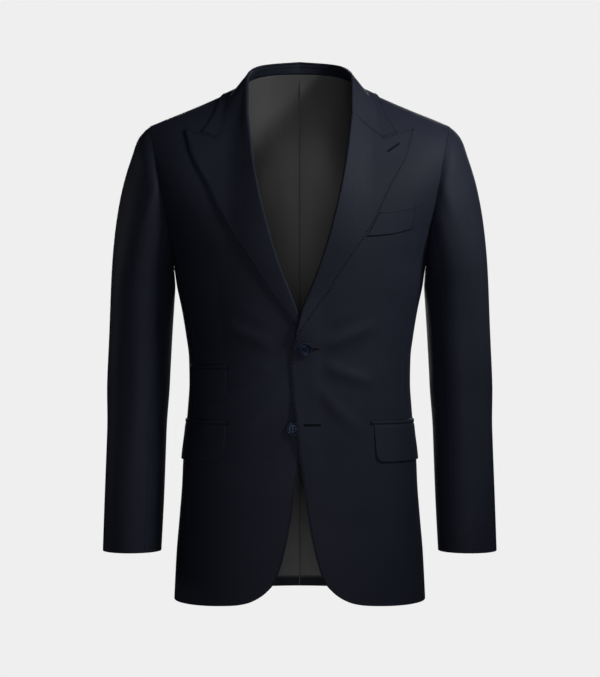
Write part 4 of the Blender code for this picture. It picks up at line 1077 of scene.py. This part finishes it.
pockets = {
    "hip": {"top": -520.2, "start": 102.0, "length": 150.0, "drop": 54.4, "sides": ("left", "right"),
            "flatFlap": (0.142, 0.055), "flatJet": (0.15, 0.0104), "areaJet": 0.0009},
    "ticket": {"top": -440.4, "start": 102.0, "length": 92.0, "drop": 45.0, "sides": ("right",),
               "flatFlap": (0.084, 0.0455), "flatJet": (0.092, 0.0104), "areaJet": 0.00055},
}
pocketCut = {
    "inset": 4.0, "corner": 13.0, "lie": 0.8, "lieFade": 0.12, "lap": 0.4, "tuck": 0.2, "curl": 1.3,
    "ringEnd": 150, "ringSamples": 600,
    "jet": {"wall": 2.0, "rims": (1.2, 1.2, 2.4, 2.0), "width": 5.2, "lie": 0.1, "rowStep": 0.5,
            "columnStep": 2.2, "held": "laid"},
    "flap": {"wall": 1.4, "rims": (0.8, 0.8, 0.5, 0.8), "rowStep": 1.8, "columnStep": 1.6, "held": "hung"},
    "ditchAbove": 0.35, "ditchBelow": 0.1, "ditchHeights": (0.25, 1.4),
}


# Ring angles at distances round the body, measured from a place on the front
def anglesAround(startX, z, lengths):
    start = ringAngle(np.array(startX), np.array(z), frontSide)
    angles = np.linspace(start, pocketCut["ringEnd"], pocketCut["ringSamples"])
    points = ringPoint(angles, np.full(len(angles), z))
    return np.interp(lengths, runAlong(points), angles)


# A trim laid on the body ring, a little off it
def ringTrim(name, angle, z, lie, spec, mirrored):
    normal = outwardNormals(ringPoint, angle, z, stepA=0.3)
    middle = ringPoint(angle, z) + (lie + spec["wall"] / 2)[..., None] * normal
    clothPiece(name, middle, normal, spec, mirrored)


# Jets are level strips. A flap hangs from under its jet, its lower corners cut as quarter circles.
def makePockets():
    jet, flap = pocketCut["jet"], pocketCut["flap"]
    tackPlaces, seamShadowPaths = [], []
    for kind, pocket in pockets.items():
        top, length, start = pocket["top"], pocket["length"], pocket["start"]
        along = spread(length, jet["columnStep"], edgeSteps, edgeSteps) * length
        down = spread(jet["width"], jet["rowStep"], [0, 0.3], [0, 0.3])[:, None]
        jetZ = top - jet["width"] * down + 0 * along
        jetAngle = anglesAround(start, top, along) + 0 * jetZ
        width = length - 2 * pocketCut["inset"]
        place = spread(width, flap["columnStep"], edgeSteps, edgeSteps) * width
        corner = pocketCut["corner"]
        ends = np.minimum(np.minimum(place, width - place), corner)
        rise = corner - np.sqrt(corner**2 - (corner - ends) ** 2)
        head = top - jet["width"] + pocketCut["lap"]
        foot = top - pocket["drop"] - jet["width"] + rise
        fall = spread(pocket["drop"], flap["rowStep"], [0, 0.3, 0.8], edgeSteps)[:, None]
        flapZ = head + (foot - head) * fall
        flapAngle = anglesAround(start + pocketCut["inset"], top, place) + 0 * flapZ
        curl = pocketCut["curl"] * fall**2 * (0.7 + 0.3 * np.cos(place / width * 5.0)) + 0 * flapZ
        lie = pocketCut["lie"] * ease(fall / pocketCut["lieFade"]) + curl - pocketCut["tuck"] * (1 - fall)
        for side in pocket["sides"]:
            mirrored = side == "right"
            shared = {"finish": woolFinish, "restsOn": ["front_" + side]}
            jetSpec = {**jet, **shared, "nodes": [f"{kind}_jet_{side}"], "flat": pocket["flatJet"],
                       "area": pocket["areaJet"]}
            flapSpec = {**flap, **shared, "nodes": [f"{kind}_flap_{side}"], "flat": pocket["flatFlap"]}
            cased = side.capitalize()
            ringTrim(kind + "Jet" + cased, jetAngle, jetZ, 0 * jetZ + jet["lie"], jetSpec, mirrored)
            ringTrim(kind + "Flap" + cased, flapAngle, flapZ, lie, flapSpec, mirrored)
            # Paths for the painted shadow lines in the ditches above and below the jet
            edges = top + pocketCut["ditchAbove"], top - jet["width"] - pocketCut["ditchBelow"]
            for edge, height in zip(edges, pocketCut["ditchHeights"]):
                levels = edge + 0 * along
                way = outwardNormals(ringPoint, jetAngle[0], levels, stepA=0.3)
                seamShadowPaths.append((ringPoint(jetAngle[0], levels) + way * height, way, side))
            for at in (0.0, length):
                angle = anglesAround(start, top, np.array([at]))
                tackPlaces.append((angle, top - jet["width"] / 2, side))
    return tackPlaces, seamShadowPaths


tackPlaces, jetSeamShadows = makePockets()
print("pockets made")

chestWelt = tableOf("share leftX leftZ rightX rightZ", [
    (0, 96.5, -255.2, 162.9, -243.2), (1, 115.5, -220.0, 169.5, -209.9),
])
welt = {
    "wall": 1.4, "rims": (0.8, 0.8, 0.8, 0.8), "lie": 0.6, "sag": 3.0, "height": 36, "width": 66,
    "rowStep": 1.6, "columnStep": 1.8, "flat": (0.071, 0.037), "held": "laid", "finish": woolFinish,
    "nodes": ["chest_welt"], "restsOn": ["front_left"],
}


# Breast pocket's welt: ruled between its two ends, its foot bowed down a little
def makeWelt():
    up = spread(welt["height"], welt["rowStep"], edgeSteps, edgeSteps)[:, None]
    across = spread(welt["width"], welt["columnStep"], edgeSteps, edgeSteps)[None]
    left, right = (np.stack([np.interp(up, chestWelt["share"], chestWelt[end + axis]) for axis in "XZ"], -1)
                   for end in ("left", "right"))
    place = left + (right - left) * across[..., None]
    x, z = place[..., 0], place[..., 1] - welt["sag"] * 4 * across * (1 - across) * (1 - 0.4 * up)
    normal = panelNormals(x, z, frontSide)
    middle = panelPoint(x, z, frontSide) + (welt["lie"] + welt["wall"] / 2) * normal
    return clothPiece("chestWelt", middle, normal, welt), normal


weltFace = makeWelt()
print("welt made")

button = {
    "radius": 10.2, "height": 3.2, "seat": 0.9, "holeRadius": 0.95, "holePlace": 2.1, "holeDepth": 1.6,
    "rings": 84, "spokes": 120, "threadRadius": 0.32, "threadLevel": 0.68,
    "shankRadius": 1.6, "shankThread": 0.35, "shankTurns": 5, "shankSteps": 60, "tiltReach": 6,
    "places": {"button_top": (6.5, -417.1), "button_lower": (-9.8, -531.0)},
}
buttonProfile = tableOf("radius height", [
    (0, 0.66), (0.35, 0.67), (0.55, 0.7), (0.68, 0.79), (0.76, 0.92), (0.84, 1.0), (0.92, 0.97),
    (0.97, 0.86), (1.0, 0.66),
])


# A turned button: a dished face with a rolled rim over a rounded back, and four wells for the thread
def buttonShape():
    share = np.concatenate([np.linspace(0, 1, button["rings"]) ** 0.9, [0.985, 0.92, 0.8, 0.55]])
    faceHeight = readTable(buttonProfile, "height", share[:button["rings"]], "radius")
    height = np.concatenate([faceHeight, [0.42, 0.2, 0.06, 0]]) * button["height"]
    turn = np.linspace(0, 2 * math.pi, button["spokes"], endpoint=False)
    x = button["radius"] * share[1:, None] * np.cos(turn)
    y = button["radius"] * share[1:, None] * np.sin(turn)
    far = np.hypot(np.abs(x) - button["holePlace"], np.abs(y) - button["holePlace"])
    well = button["holeDepth"] * (1 - ease((far - button["holeRadius"] + 0.12) / 0.3))
    well[button["rings"] - 1:] = 0
    rings = np.stack([x, y, height[1:, None] - well], -1)
    poles = np.array([[0, 0, height[0]], [0, 0, 0]])
    index = np.arange(rings.shape[0] * button["spokes"]).reshape(-1, button["spokes"])
    following = np.roll(index, -1, 1)
    quads = quadsBetween(index, following, flipped=True)
    top, bottom = index.size, index.size + 1
    fans = np.concatenate([
        np.stack([index[0], following[0], np.full(button["spokes"], top)], -1),
        np.stack([following[-1], index[-1], np.full(button["spokes"], bottom)], -1)])
    return np.concatenate([rings.reshape(-1, 3), poles]), quads, fans


# A smooth spot of a front: its place, and across, up and outward directions, taken over a wide step
def frontSpot(x, z, side):
    def surface(a, b):
        lifted = lapLift(a, b)[..., None] * np.array([0, -1, 0]) if side == "left" else 0
        strength = frontPanel[side]["strength"]
        return panelPoint(a, b, frontSide, ridges(a, b, frontFolds, strength)) + lifted
    at = np.array([[x]]), np.array([[z]])
    reach = button["tiltReach"]
    normal = outwardNormals(surface, *at, stepA=reach, stepB=reach)[0, 0]
    across = unit(np.cross([0, 0, 1.0], normal)) * -1
    across = across if across[0] > 0 else -across
    return surface(*at)[0, 0], across, np.cross(normal, across), normal


# Thread through the holes: two upright bars of three strands each, arched over the dish
def threadBars(place, across, up, normal):
    s = np.linspace(-1, 1, 9)
    run = np.outer(s * (button["holePlace"] + 0.25), up)
    arch = np.outer(0.75 - 1.9 * np.abs(s) ** 4, normal)
    level = place + normal * (button["height"] * button["threadLevel"])
    reaches = [column * button["holePlace"] + strand for column in (-1, 1) for strand in (-0.42, 0, 0.42)]
    return np.array([(level + across * reach)[None] + run + arch for reach in reaches])


# The shank is thread wound round under the button, in a helix
def threadShank(spot, across, up, normal):
    steps = button["shankSteps"]
    turns = np.linspace(0, 2 * math.pi * button["shankTurns"], steps)
    wind = spot + np.outer(np.linspace(0.1, button["seat"] + 0.4, steps), normal)
    return wind + button["shankRadius"] * (np.outer(np.cos(turns), across) + np.outer(np.sin(turns), up))


def makeButtons():
    points, quads, fans = buttonShape()
    threads = []
    for node, (x, z) in button["places"].items():
        side = "left" if x > 0 else "right"
        spot, across, up, normal = frontSpot(abs(x), z, side)
        if side == "right":
            spot, across, normal = spot * mirrorX, across * (1, -1, -1), normal * mirrorX
            up = np.cross(normal, across)
        seat = spot + button["seat"] * normal
        placed = seat + points @ np.stack([across, up, normal])
        mesh = buildMesh(node, placed, [quads, fans])
        addPiece("button" + node.split("_")[1].capitalize(), mesh, resinFinish, [node])
        bars = threadBars(seat, across, up, normal)
        ways = np.repeat(normal[None], len(bars), 0)
        threads.append(tubeMesh(bars, ways, button["threadRadius"], 7))
        shank = threadShank(spot, across, up, normal)
        threads.append(tubeMesh(shank[None], normal[None], button["shankThread"], 6))
    joinTubes("buttonThreads", threads, sewingThread)


makeButtons()
print("buttons made")


# Points, directions and normals at an inset from one edge of a face grid, a stitch apart
def stitchLine(points, facing, inset, spacing, first):
    run, _ = gridRuns(points)
    column = np.argmax(run >= inset, 1)
    column = np.where(column == 0, points.shape[1] - 1, column)
    row = np.arange(len(points))
    before = run[row, column - 1]
    t = ((inset - before) / np.maximum(run[row, column] - before, 1e-6))[:, None]
    line = points[row, column - 1] * (1 - t) + points[row, column] * t
    travelled = runAlong(line)
    at = np.arange(first + spacing / 2, travelled[-1], spacing)
    places, ahead, behind = (readAlong(at + step, travelled, line) for step in (0, 0.5, -0.5))
    return places, unit(ahead - behind), unit(readAlong(at, travelled, facing[row, column]))


# The same grids for the wearer's left, and mirrored for the right
def mirroredTo(side, *grids):
    return [grid * mirrorX if side == "right" else grid for grid in grids]


pick = {"spacing": 4.6, "inset": 3.2, "length": 1.2, "radius": 0.95, "height": -0.2, "sink": 0.25}


# Each pick stitch is a short thread that rises out of the cloth and goes back in
def pickStitches(points, facing, first, side="left"):
    places, along, normals = stitchLine(points, facing, pick["inset"], pick["spacing"], first)
    s = np.linspace(-1, 1, 5)[None, :, None]
    lift = pick["height"] - (pick["radius"] + pick["sink"]) * s**4
    paths = places[:, None] + along[:, None] * s * pick["length"] / 2 + normals[:, None] * lift
    return tubeMesh(*mirroredTo(side, paths, normals), pick["radius"])


def makePickStitches():
    sets = []
    for side in ("left", "right"):
        points, facing = lapels[side]
        sets.append(pickStitches(points[:, ::-1], facing[:, ::-1], 4, side))
        free = points[-1, :, 0] > gorge["x"][1] + 1
        top, topFacing = points[::-1][:, free], facing[::-1][:, free]
        sets.append(pickStitches(top.swapaxes(0, 1), topFacing.swapaxes(0, 1), 1, side))
        points, facing = fronts[side]
        below = points[:, 0, 2] < frontPanel["breakZ"] - 6
        sets.append(pickStitches(points[below], facing[below], 6, side))
    points, facing = collarFace
    sets.append(pickStitches(points[:, ::-1], facing[:, ::-1], 3))
    endRows, leafOnly = slice(0, 60), slice(collar["rollSteps"] + 14, None)
    for end, way in ((points, facing), (points[::-1], facing[::-1])):
        end, way = end[endRows, leafOnly], way[endRows, leafOnly]
        sets.append(pickStitches(end.swapaxes(0, 1), way.swapaxes(0, 1), 1))
    points, facing = weltFace
    sets.append(pickStitches(points[::-1].swapaxes(0, 1), facing[::-1].swapaxes(0, 1), 1))
    sets.append(pickStitches(points[:, ::-1], facing[:, ::-1], 3))
    joinTubes("pickStitches", sets, sewingThread)


# Radii and rise of the dark threads that paint the shadow in the seams' ditches
ditch = {"jet": 0.3, "gorge": 0.35, "rise": 0.5}


# Painted shadow of a seam's ditch: one fine near-black thread along it, half sunk in the ditch, drawn where
# the groove holds only shade
def seamShadowThread(path, normals, radius, side):
    path, normals = mirroredTo(side, path, normals)
    return tubeMesh(path[None], unit(normals.mean(0))[None], radius, 6)


# Painted shadow lines in the ditch of the gorge, from the roll to the collar's corner, and in those above and
# below the jets
def makeSeamShadowLines():
    sets = [seamShadowThread(path[::3], way[::3], ditch["jet"], side) for path, way, side in jetSeamShadows]
    for side in ("left", "right"):
        points, facing = lapels[side]
        reach = points[-1, :, 0] < gorge["x"][1] + 1
        line, way = points[-1][reach], facing[-1][reach]
        sets.append(seamShadowThread(line[4:] + (0, 0, ditch["rise"]), way[4:], ditch["gorge"], side))
    joinTubes("seamShadowLines", sets, sewingThread)


makePickStitches()
makeSeamShadowLines()
print("edge stitches made")


buttonholes = {
    "reach": 1.1, "spacing": 0.62, "radius": 0.3, "slot": 0.25, "eyeRadius": 0.7, "eyeReach": 1.3,
    "lapel": ((127.3, -131.6), (143.8, -119.6)), "top": ((8.0, -417.1), (26.0, -417.1)),
    "lower": ((8.6, -525.5), (28.5, -525.5)),
}


# A worked hole: close stitches across both sides of a slot and fanned round its ends
def workedHole(spot, along, up, normal, length, eyelet, settle):
    half, slot = length / 2, buttonholes["slot"]
    sideCount = int(length / buttonholes["spacing"])
    s = np.linspace(-half, half, sideCount)
    fan = np.linspace(-1.2, 1.2, 7)
    fans = [np.stack([end * np.cos(fan), np.sin(fan)], -1) for end in (1, -1)]
    bases = np.concatenate([np.stack([s, 0 * s + slot], -1), np.stack([s, 0 * s - slot], -1),
                            (half, 0) + slot * fans[0], (-half, 0) + slot * fans[1]])
    ways = np.concatenate([np.tile([0, 1.0], (sideCount, 1)), np.tile([0, -1.0], (sideCount, 1)), *fans])
    t = np.linspace(0, 1, 5)[None, :, None]
    flat = bases[:, None] + ways[:, None] * t * buttonholes["reach"]
    if eyelet:
        turn = np.linspace(0, 2 * math.pi, 20, endpoint=False)
        circle = np.stack([np.cos(turn), np.sin(turn)], -1)
        ring = (-half, 0) + circle[:, None] * (buttonholes["eyeRadius"] + t * buttonholes["eyeReach"])
        flat = np.concatenate([flat, ring])
    lift = 0.1 + 0.45 * np.sin(math.pi * (0.15 + 0.8 * t[..., 0]))
    paths = settle(spot + flat[..., :1] * along + flat[..., 1:] * up) + lift[..., None] * normal
    return tubeMesh(paths, np.repeat(normal[None], len(paths), 0), buttonholes["radius"])


# Place and directions on a face grid at a spot of the front view, from the nearest points
def gridSpot(points, facing, x, z):
    flat, normals = points.reshape(-1, 3), facing.reshape(-1, 3)
    ahead = normals[:, 1] < 0
    far = np.hypot(flat[:, 0] - x, flat[:, 2] - z) + np.where(ahead, 0, 1e3)
    near = np.argsort(far)[:6]
    weight = 1 / (far[near] + 0.05)
    return flat[near].T @ weight / weight.sum(), unit(normals[near].T @ weight)


# Moves points along a direction onto the face grid: each goes to the plane of its nearest face point
def settleOn(points, facing, paths, way):
    near = np.linalg.norm(points - paths.mean((0, 1)), axis=-1) < 25
    flat, normals = points[near], facing[near]
    spots = paths.reshape(-1, 3)
    aside = spots[:, None] - flat[None]
    aside = aside - (aside @ way)[..., None] * way
    nearest = np.argmin(np.sum(aside**2, -1) + np.where(normals @ way > 0.3, 0, 1e6)[None], 1)
    anchor, tilt = flat[nearest], normals[nearest]
    reach = np.sum((anchor - spots) * tilt, -1) / (tilt @ way)
    return (spots + reach[:, None] * way).reshape(paths.shape)


def makeButtonholes():
    sets = {"lapel": [], "front": []}
    for name, grid in (("lapel", lapels["left"]), ("top", fronts["left"]), ("lower", fronts["left"])):
        (x0, z0), (x1, z1) = buttonholes[name]
        start, _ = gridSpot(*grid, x0, z0)
        end, _ = gridSpot(*grid, x1, z1)
        spot, normal = gridSpot(*grid, (x0 + x1) / 2, (z0 + z1) / 2)
        along = unit(end - start)
        normal = unit(normal - np.sum(normal * along) * along)
        made = workedHole(spot, along, np.cross(normal, along), normal, np.linalg.norm(end - start),
                          name != "lapel", lambda paths, face=grid, way=normal: settleOn(*face, paths, way))
        sets["lapel" if name == "lapel" else "front"].append(made)
    joinTubes("lapelButtonhole", sets["lapel"], lapelThread)
    joinTubes("frontButtonholes", sets["front"], sewingThread)


tack = {
    "above": 2.4, "below": 3.4, "rungs": 10, "halfWidth": 0.8, "height": 1.7, "sink": 0.5, "radius": 0.32,
}


# Bar tacks: a small ladder of thread across each end of a jet
def makeBarTacks():
    sets = []
    for angle, z, side in tackPlaces:
        levels = z + np.linspace(-tack["below"], tack["above"], tack["rungs"])
        angles = np.full(tack["rungs"], angle[0])
        normal = outwardNormals(ringPoint, angles, levels, stepA=0.3)
        along = unit(np.cross(normal, [0, 0, 1.0]))
        s = np.linspace(-1, 1, 5)[None, :, None]
        lift = normal[:, None] * (tack["height"] - tack["sink"] * s**4)
        paths = ringPoint(angles, levels)[:, None] + along[:, None] * s * tack["halfWidth"] + lift
        sets.append(tubeMesh(*mirroredTo(side, paths, normal), tack["radius"]))
    joinTubes("barTacks", sets, sewingThread)


makeButtonholes()
makeBarTacks()
print("buttonholes and bar tacks made")

studio = {
    "backdrop": "#efefef", "ambient": 0.004, "spread": 60.0, "lens": 107.8,
    "cameraPlace": (0.0004, -3.085, -0.402),
    "floorZ": -1.45, "floorRings": (0.8, 2.0, 5.0, 14.0), "floorSides": 96, "floorPaint": "#e6e6e6",
    "floorBounce": "#404040", "glowFrom": 1.6, "glowTo": 3.4, "glowLeast": 0.88,
}
# Soft panels: place, aim, size in metres and power in watts
softLights = {
    "sideKey": ((0.9, -0.7, 0.5), (0.12, -0.1, -0.15), 0.3, 1.45),
    "frontFill": ((0.0, -3.4, -0.4), (0.0, -0.1, -0.4), 1.2, 2.2),
    "lowFill": ((0.25, -1.1, -1.1), (0.05, -0.1, -0.55), 0.4, 0.12),
    "leftRim": ((-2.2, 0.6, 0.1), (-0.2, -0.06, -0.4), 0.6, 0.45),
    "rightRim": ((2.2, 0.6, 0.1), (0.2, -0.06, -0.4), 0.6, 0.2),
    "backLeft": ((-0.5, 3.1, 0.3), (0.0, -0.06, -0.4), 1.2, 5.0),
    "backRight": ((0.6, 3.0, 0.7), (0.0, -0.06, -0.4), 1.2, 4.0),
}


# The camera sees the backdrop colour, and the jacket gets only a little light from it
def makeWorld():
    world = bpy.data.worlds.new("studioWorld")
    bpy.context.scene.world = world
    world.use_nodes = True
    tree = world.node_tree
    lit = tree.nodes["Background"]
    lit.inputs["Color"].default_value = (1, 1, 1, 1)
    lit.inputs["Strength"].default_value = studio["ambient"]
    seen = addNode(tree, "Background", {"Color": hexColour(studio["backdrop"]), "Strength": 1.0})
    rays = addNode(tree, "LightPath").outputs["Is Camera Ray"]
    mixed = addNode(tree, "MixShader", {}, {0: rays, 1: lit, 2: seen})
    feed(tree.nodes["World Output"], {"Surface": mixed})


# Painted floor: rings round a centre point, glowing up to the backdrop's colour further out
def makeFloor():
    sides, radii = studio["floorSides"], np.array(studio["floorRings"])
    turn = np.linspace(0, 2 * math.pi, sides, endpoint=False)
    rings = np.stack([radii[:, None] * np.cos(turn), radii[:, None] * np.sin(turn),
                      np.full((len(radii), sides), studio["floorZ"])], -1) / mm
    index = np.arange(rings[..., 0].size).reshape(-1, sides)
    following = np.roll(index, -1, 1)
    fan = np.stack([index[0], following[0], np.full(sides, index.size)], -1)
    centre = np.array([[0, 0, studio["floorZ"] / mm]])
    mesh = buildMesh("floor", np.concatenate([rings.reshape(-1, 3), centre]),
                     [quadsBetween(index, following, flipped=True), fan])
    floor = bpy.data.objects.new("floor", mesh)
    bpy.context.scene.collection.objects.link(floor)
    glowColour = hexColour(studio["backdrop"])
    made, tree, shader = newMaterial("paintedStudioFloor", {
        "Base Color": hexColour(studio["floorPaint"]), "Roughness": 0.9, "Specular IOR Level": 0.1,
        "Emission Color": glowColour,
    })
    mesh.materials.append(made)
    place = addNode(tree, "TexCoord").outputs["Object"]
    far = addNode(tree, "VectorMath", {"operation": "LENGTH"}, {0: place})
    blend = addNode(tree, "MapRange", {
        "From Min": studio["glowFrom"], "From Max": studio["glowTo"], "To Min": studio["glowLeast"],
    }, {"Value": far.outputs["Value"]})
    glow = addNode(tree, "Emission", {"Color": glowColour, "Strength": 1.0})
    both = addNode(tree, "MixShader", {}, {0: blend, 1: shader, 2: glow})
    dim = addNode(tree, "BsdfDiffuse", {"Color": hexColour(studio["floorBounce"])})
    seen = addNode(tree, "LightPath").outputs["Is Camera Ray"]
    last = addNode(tree, "MixShader", {}, {0: seen, 1: dim, 2: both})
    feed(tree.nodes["Material Output"], {"Surface": last})


def makeStudio():
    scene = bpy.context.scene
    makeWorld()
    makeFloor()
    for name, (place, aim, size, power) in softLights.items():
        lamp = bpy.data.lights.new(name, "AREA")
        lamp.size, lamp.energy, lamp.spread = size, power, math.radians(studio["spread"])
        holder = bpy.data.objects.new(name, lamp)
        holder.location = place
        way = np.array(aim) - np.array(place)
        yaw = math.atan2(way[1], way[0]) - math.pi / 2
        pitch = math.atan2(way[2], math.hypot(way[0], way[1])) + math.pi / 2
        holder.rotation_euler = (pitch, 0, yaw)
        scene.collection.objects.link(holder)
    camera = bpy.data.objects.new("camera", bpy.data.cameras.new("camera"))
    camera.location = studio["cameraPlace"]
    camera.rotation_euler = (math.pi / 2, 0, 0)
    camera.data.lens = studio["lens"]
    scene.collection.objects.link(camera)
    scene.camera = camera
    scene.view_settings.view_transform = "Standard"


makeStudio()
print("studio made")
